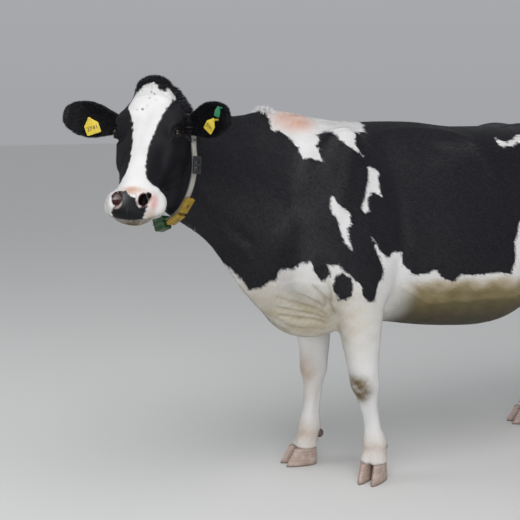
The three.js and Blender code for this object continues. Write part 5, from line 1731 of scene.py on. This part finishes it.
def collar_direction(angle):
    angle = np.asarray(angle, float)
    return np.cos(angle)[..., None] * collar_up + np.sin(angle)[..., None] * collar_left


def collar_reach(angle):
    marks = np.arange(40, 401)
    inside = body_shape(collar_middle + marks[:, None] * collar_direction(angle)) < 0
    reach = marks[np.argmin(inside)] if not inside.all() else 400
    hang = 1 / math.hypot(math.sin(angle) / STRAP_SAG[0], math.cos(angle) / STRAP_SAG[1])
    return max(reach + STRAP_EASE, hang if math.cos(angle) < 0.2 else 0)


strap_angles = np.arange(STRAP_STEPS) / STRAP_STEPS * 2 * math.pi
reaches = np.array([collar_reach(angle) for angle in strap_angles])
reaches = np.maximum(reaches, (np.roll(reaches, 1) + np.roll(reaches, -1)) / 2)


def strap_line(angle, off):
    """Places along the strap, off its inside by so much."""
    reach = np.interp(np.mod(angle, 2 * math.pi), np.append(strap_angles, 2 * math.pi),
                      np.append(reaches, reaches[0]))
    return collar_middle + collar_direction(angle) * (reach + off)[..., None]


def corner_line(angles, off):
    """The strap's own line: straight between the steps of the frame's strap, eased at them."""
    wide = [strap_line(angles + shift, off) for shift in (-0.10, -0.05, 0.0, 0.05, 0.10)]
    return np.mean(wide, axis=0)


ring_angles = np.arange(192) / 192 * 2 * math.pi
strap = bmesh.new()
half = STRAP_WIDTH / 2
# The strap's section: how far each corner is off its inside, and across it from the middle.
strap_section = [(1.2, -half + 0.8), (0.7, -half + 2), (0.7, 0), (0.7, half - 2),
                 (1.2, half - 0.8), (2.6, half - 0.4), (3.9, half - 0.8), (4.4, half - 2.4),
                 (4.4, 0), (4.4, -half + 2.4), (3.9, -half + 0.8), (2.6, -half + 0.4)]
banded(strap, [corner_line(ring_angles, off) + collar_axis * wide
               for off, wide in strap_section], closed=True)

webbing, tree, shader = new_material("webbing", Roughness=0.85)
along_strap, across_strap = stored(tree, "along"), stored(tree, "across")
weave_place = node(tree, "CombineXYZ", i0=along_strap, i1=across_strap, i2=0.0).outputs[0]
ribs = node(tree, "TexWave", {"bands_direction": "X"}, Vector=weave_place, Scale=90.0,
            Distortion=0.6, Detail=1.0).outputs["Fac"]
threads = node(tree, "TexWave", {"bands_direction": "Y"}, Vector=weave_place, Scale=110.0,
               Distortion=0.4, Detail=1.0).outputs["Fac"]
weave = math_node(tree, "MULTIPLY", ribs, threads)
base = mixed(tree, weave, WEFT, WARP)
grime = noise(tree, weave_place, 28.0, 5.0, 0.65)
base = mixed(tree, ranged(tree, grime, 0.46, 0.68, 0.0, 0.6), base, WEBBING_GRIME)
edge = math_node(tree, "ABSOLUTE", across_strap)
selvage = ranged(tree, edge, 0.0098, 0.0118, 0.0, 0.85, eased=True)
feed(tree, shader, Base_Color=mixed(tree, selvage, base, SELVAGE),
     Normal=bumped(tree, 0.6, 0.0008, weave))
strap_piece = shown_piece(strap, "collar_strap", webbing, "webbing")
shade_smooth(strap_piece.data)
strap_places = threes(strap_piece.data.vertices, "co") * 1000 - ORIGIN - collar_middle
around = np.arctan2(strap_places @ collar_left, strap_places @ collar_up)
add_values(strap_piece.data, "along", "FLOAT", np.abs(around) * 0.16)
add_values(strap_piece.data, "across", "FLOAT", strap_places @ collar_axis / 1000)

# ---------------------------------------------------------------- hair over the strap

# Long black hair of the crest of the neck that falls back over the strap and hides it from the
# topknot to behind the ears; thin tapered locks.
from_collar = middles - collar_middle
place_round = np.arctan2(from_collar @ collar_left, from_collar @ collar_up)
forward = collar_axis * np.sign(collar_axis @ neck_ahead)
before_strap = from_collar @ forward
crest = (np.abs(place_round) < 0.92) & (before_strap > -6) & (before_strap < 42)
crest &= ((part_of == TRUNK) | (part_of == HEAD_PART)) & (middles[:, 2] > 1330)
roots, normals = lock_roots(crest, 5200)
ahead_of = (roots - collar_middle) @ forward
ways = -0.8 * neck_ahead + 0.45 * normals + jitter(roots, 0.10)
lengths = np.clip(ahead_of + 16, 17, 38) * draw.uniform(0.8, 1.1, len(roots))
centres = curled(roots, ways, lengths, 5, 0.10, 0.20, 0.4)
colours = toned(BLACK_HAIR, 0.7, 1.6, len(roots))
locks("coat_crest", roots, centres, (2.0, 3.4), colours, TRUNK)

# ---------------------------------------------------------------- what the collar carries

# Moulded plastic pieces threaded on the strap, each from a block with worn rounded edges: a
# black slide buckle, two yellow number blocks with dark raised figures, a green transponder.
# where each sits: angle round the strap, distance off it, lean and stand
BUCKLE_AT, TRANSPONDER_AT = (1.62, 9), (3.18, 52, 30, -14)
BLOCKS_AT = {"upper": (2.56, "4"), "lower": (2.87, "7")}
BLOCK_OFF, BLOCK_FACE, FIGURE_HEIGHT, FIGURE_THICK = 15, 6.7, 27, 0.9
BUCKLE_BLACK = (0.014, 0.016, 0.020, 1)
# The yellow of the number blocks is deepened partly as painted shade of the blocks under the neck.
NUMBER_BLOCK_YELLOW_AND_SHADE = (0.30, 0.19, 0.002, 1)
TRANSPONDER_GREEN = (0.001, 0.036, 0.004, 1)
FIGURE_BLACK = (0.016, 0.016, 0.018, 1)
YARD_GRIME = (0.12, 0.085, 0.045, 1)
SHARP_ANGLE = 35


def plastic_material(name, colour, grimy, roughness):
    """Moulded plastic with scuffs that lighten it and brown grime lying on it."""
    made, tree, shader = new_material(name)
    place = own_place(tree)
    share = ranged(tree, noise(tree, place, 44.0, 6.0, 0.68), 0.48, 0.72, 0.0, grimy)
    base = mixed(tree, share, colour, YARD_GRIME)
    scuffs = noise(tree, place, 190.0, 3.0)
    scuffed = (*[min(1, 0.03 + 1.25 * part) for part in colour[:3]], 1)
    base = mixed(tree, ranged(tree, scuffs, 0.60, 0.75, 0.0, 0.22), base, scuffed)
    feed(tree, shader, Base_Color=base, Normal=bumped(tree, 0.25, 0.0006, scuffs),
         Roughness=ranged(tree, scuffs, 0.3, 0.7, roughness - 0.08, roughness + 0.12))
    return made


buckle_plastic = plastic_material("buckle_plastic", BUCKLE_BLACK, 0.25, 0.36)
yellow_plastic = plastic_material("yellow_plastic", NUMBER_BLOCK_YELLOW_AND_SHADE, 0.62, 0.46)
green_plastic = plastic_material("green_plastic", TRANSPONDER_GREEN, 0.30, 0.34)
figure_paint = plastic_material("figure_paint", FIGURE_BLACK, 0.10, 0.5)


def strap_matrix(angle, off, tilt=0, stand=4):
    """A frame on the strap: X along it, Y across it, Z out from the neck; size in metres."""
    before, here, after = strap_line(np.array([angle - 0.12, angle, angle + 0.12]),
                                     STRAP_THICKNESS)
    run = unit(after - before)
    outward = unit(np.cross(collar_axis, run))
    outward = outward if outward @ collar_direction(angle) > 0 else -outward
    c, s = math.cos(math.radians(tilt)), math.sin(math.radians(tilt))
    run, outward = (run * c + np.cross(collar_axis, run) * s,
                    outward * c + np.cross(collar_axis, outward) * s)
    place = in_frame(here + outward * (off / 2 + stand))
    return standing_at(place, run, np.cross(outward, run), outward)


def shift_by(x, y, z):
    return Matrix.Translation((x / 1000, y / 1000, z / 1000))


def rounded_block(shape, here, place, size, radius, steps=3):
    """Adds a block with rounded edges; place and size are in millimetres."""
    made = bmesh.ops.create_cube(shape, size=1, matrix=here @ shift_by(*place) @ Matrix.Diagonal(
        (size[0] / 1000, size[1] / 1000, size[2] / 1000, 1)))
    edges = {edge for vert in made["verts"] for edge in vert.link_edges}
    bmesh.ops.bevel(shape, geom=list(edges), offset=radius / 1000, segments=steps, profile=0.5,
                    affect="EDGES", material=-1)


def raised_figures(text, matrix, height, thick):
    """Figures as a mesh already in place, centred on the face of a block or a plate."""
    written = bpy.data.curves.new("figures", "FONT")
    written.body = text
    written.align_x, written.align_y = "CENTER", "CENTER"
    written.size = height / 1000
    written.extrude = thick / 2000
    holder = in_scene("figures", written)
    made = bpy.data.meshes.new_from_object(holder)
    bpy.data.objects.remove(holder)
    made.transform(matrix)
    return made


def add_painted(shape, mesh):
    """Adds a mesh to a shape, in the second material: the paint of the figures."""
    mesh.polygons.foreach_set("material_index", np.ones(len(mesh.polygons), int))
    shape.from_mesh(mesh)
    bpy.data.meshes.remove(mesh)


def plastic_piece(shape, name, slot, *materials):
    """A moulded piece, smooth but for edges that turn by more than the sharp angle."""
    mesh = shown_piece(shape, name, materials[0], slot).data
    for material in materials[1:]:
        mesh.materials.append(material)
    shade_smooth(mesh)
    mesh.set_sharp_from_angle(angle=math.radians(SHARP_ANGLE))


# The buckle: a frame with two slots and a middle bar that the strap runs over and under.
# The blocks of each piece: place, size, radius of the edges and steps round them.
BUCKLE = [
    ((0, 15.5, 0), (64, 7, 7), 1.6), ((0, -15.5, 0), (64, 7, 7), 1.6),
    ((-28, 0, 0), (8, 36, 7.6), 1.6), ((28, 0, 0), (8, 36, 7.6), 1.6),
    ((0, 0, 1.0), (13, 34, 6.0), 1.6),
    ((-18.5, 0, -1.2), (14, 24, 3.2), 1.0), ((18.5, 0, -1.2), (14, 24, 3.2), 1.0)]
NUMBER_BLOCK = [
    ((0, 0, 3.0), (60.5, 40.5, 7.4), 2.2), ((0, 0, -4.4), (60.5, 40.5, 4.2), 1.4),
    ((-22, 0, 3.2), (3, 37, 7.8), 1.0, 2), ((22, 0, 3.2), (3, 37, 7.8), 1.0, 2)]
BACKING = [((0, 0, -1.2), (58, 38, 3.4), 0.6, 1)]
TRANSPONDER = [
    ((0, 0, 11.0), (49, 47, 27.5), 7.0, 5), ((0, 0, -12.5), (49, 47, 24.5), 4.5, 4),
    ((0, 0, -1.0), (51, 49, 3.4), 1.4, 2)]


def of_blocks(here, blocks):
    shape = bmesh.new()
    for block in blocks:
        rounded_block(shape, here, *block)
    return shape


plastic_piece(of_blocks(strap_matrix(*BUCKLE_AT), BUCKLE), "collar_buckle", "buckle_plastic",
              buckle_plastic)

# A number block: a yellow block with a groove round it where its two halves meet, on a dark
# backing plate, its figures raised on the outer face.
for level, (angle, figures) in BLOCKS_AT.items():
    here = strap_matrix(angle, BLOCK_OFF)
    shape = of_blocks(here, NUMBER_BLOCK)
    add_painted(shape, finished_mesh(of_blocks(here, BACKING), "backing"))
    upright = here @ shift_by(0, 0, BLOCK_FACE) @ Matrix.Rotation(math.pi / 2, 4, "Z")
    add_painted(shape, raised_figures(figures, upright, FIGURE_HEIGHT, FIGURE_THICK))
    plastic_piece(shape, "collar_number_block_" + level, "yellow_plastic", yellow_plastic,
                  figure_paint)

# The transponder: a green casing of two halves with a rib round the seam and a domed face,
# the strap running through its upper half.
plastic_piece(of_blocks(strap_matrix(*TRANSPONDER_AT), TRANSPONDER), "collar_transponder",
              "green_plastic", green_plastic)

# ---------------------------------------------------------------- ear tags

# Soft plastic plates cut to an outline with a narrow neck, held in front of the ear's hollow
# by a stud with a round button; the yellow ones carry dark figures, the small one is green.
TAG_DEPTH, TAG_CLEAR, TAG_SHOULDER = 2.6, 30, 0.36
# name, side, place along and up the ear, width, height, lean in degrees, figures and slot
TAGS = [
    ("ear_tag_right_yellow", -1, 146, 2, 54, 58, 18, "2741", "yellow_plastic"),
    ("ear_tag_left_yellow", 1, 174, -4, 44, 50, -36, "2741", "yellow_plastic"),
    ("ear_tag_left_green", 1, 206, 32, 26, 32, -16, "", "green_plastic"),
]
# the stud's button and its shaft: level, segments, radii and length
TAG_STUD = [(1.8, 28, 6.2, 5.0, 1.6), (-18, 20, 3.6, 3.6, 39)]
tag_plastics = {
    "yellow_plastic": plastic_material("tag_yellow", (0.66, 0.50, 0.035, 1), 0.40, 0.45),
    "green_plastic": plastic_material("tag_green", (0.012, 0.190, 0.080, 1), 0.25, 0.4),
}


def smooth_outline(width, height):
    """The plate's outline: a round neck, sloping shoulders and softly rounded lower corners."""
    arc = [(6.6 * math.cos(a), 6.6 * math.sin(a)) for a in np.linspace(0, math.pi, 13)]
    right, shoulder = width / 2 - 0.5, -height * TAG_SHOULDER
    foot = -height + 0.4
    return arc + [(-right, shoulder), (-right, foot + 4), (-right + 1.2, foot + 1.2),
                  (-right + 4, foot), (right - 4, foot), (right - 1.2, foot + 1.2),
                  (right, foot + 4), (right, shoulder)]


for name, side, along, upwards, width, height, lean, figures, slot in TAGS:
    root, outwards, facing, high = ears[side]
    place = in_frame(root + outwards * along + high * upwards + facing * TAG_CLEAR)
    standing = Vector(UP - facing * (UP @ facing)).normalized()
    standing.rotate(Matrix.Rotation(math.radians(lean), 3, Vector(facing)))
    sideways = standing.cross(Vector(facing)).normalized()
    here = standing_at(place, sideways, standing, facing)
    shape = bmesh.new()
    outline = [shape.verts.new((x / 1000, y / 1000, 0.0002))
               for x, y in smooth_outline(width, height)]
    plate = shape.faces.new(outline)
    raised = bmesh.ops.extrude_face_region(shape, geom=[plate])
    top = [item for item in raised["geom"] if isinstance(item, bmesh.types.BMVert)]
    bmesh.ops.translate(shape, verts=top, vec=(0, 0, (TAG_DEPTH - 0.5) / 1000))
    rims = [edge for edge in shape.edges if len({round(v.co.z, 6) for v in edge.verts}) == 1]
    bmesh.ops.bevel(shape, geom=rims, offset=0.0005, segments=2, profile=0.5, affect="EDGES",
                    material=-1)
    if figures:
        rounded_block(shape, Matrix(), (0, 2.4 - height, 1.2), (width - 9, 2.2, 2.4), 0.5, 1)
    for level, segments, base, tip, length in TAG_STUD:
        bmesh.ops.create_cone(shape, cap_ends=True, segments=segments, radius1=base / 1000,
                              radius2=tip / 1000, depth=length / 1000,
                              matrix=shift_by(0, 0, level))
    bmesh.ops.transform(shape, matrix=here, verts=shape.verts)
    if figures:
        paint = here @ shift_by(0, -height * 0.62, 2.6)
        add_painted(shape, raised_figures(figures, paint, width * 0.40, 0.5))
    plastic_piece(shape, name, slot, tag_plastics[slot], figure_paint)
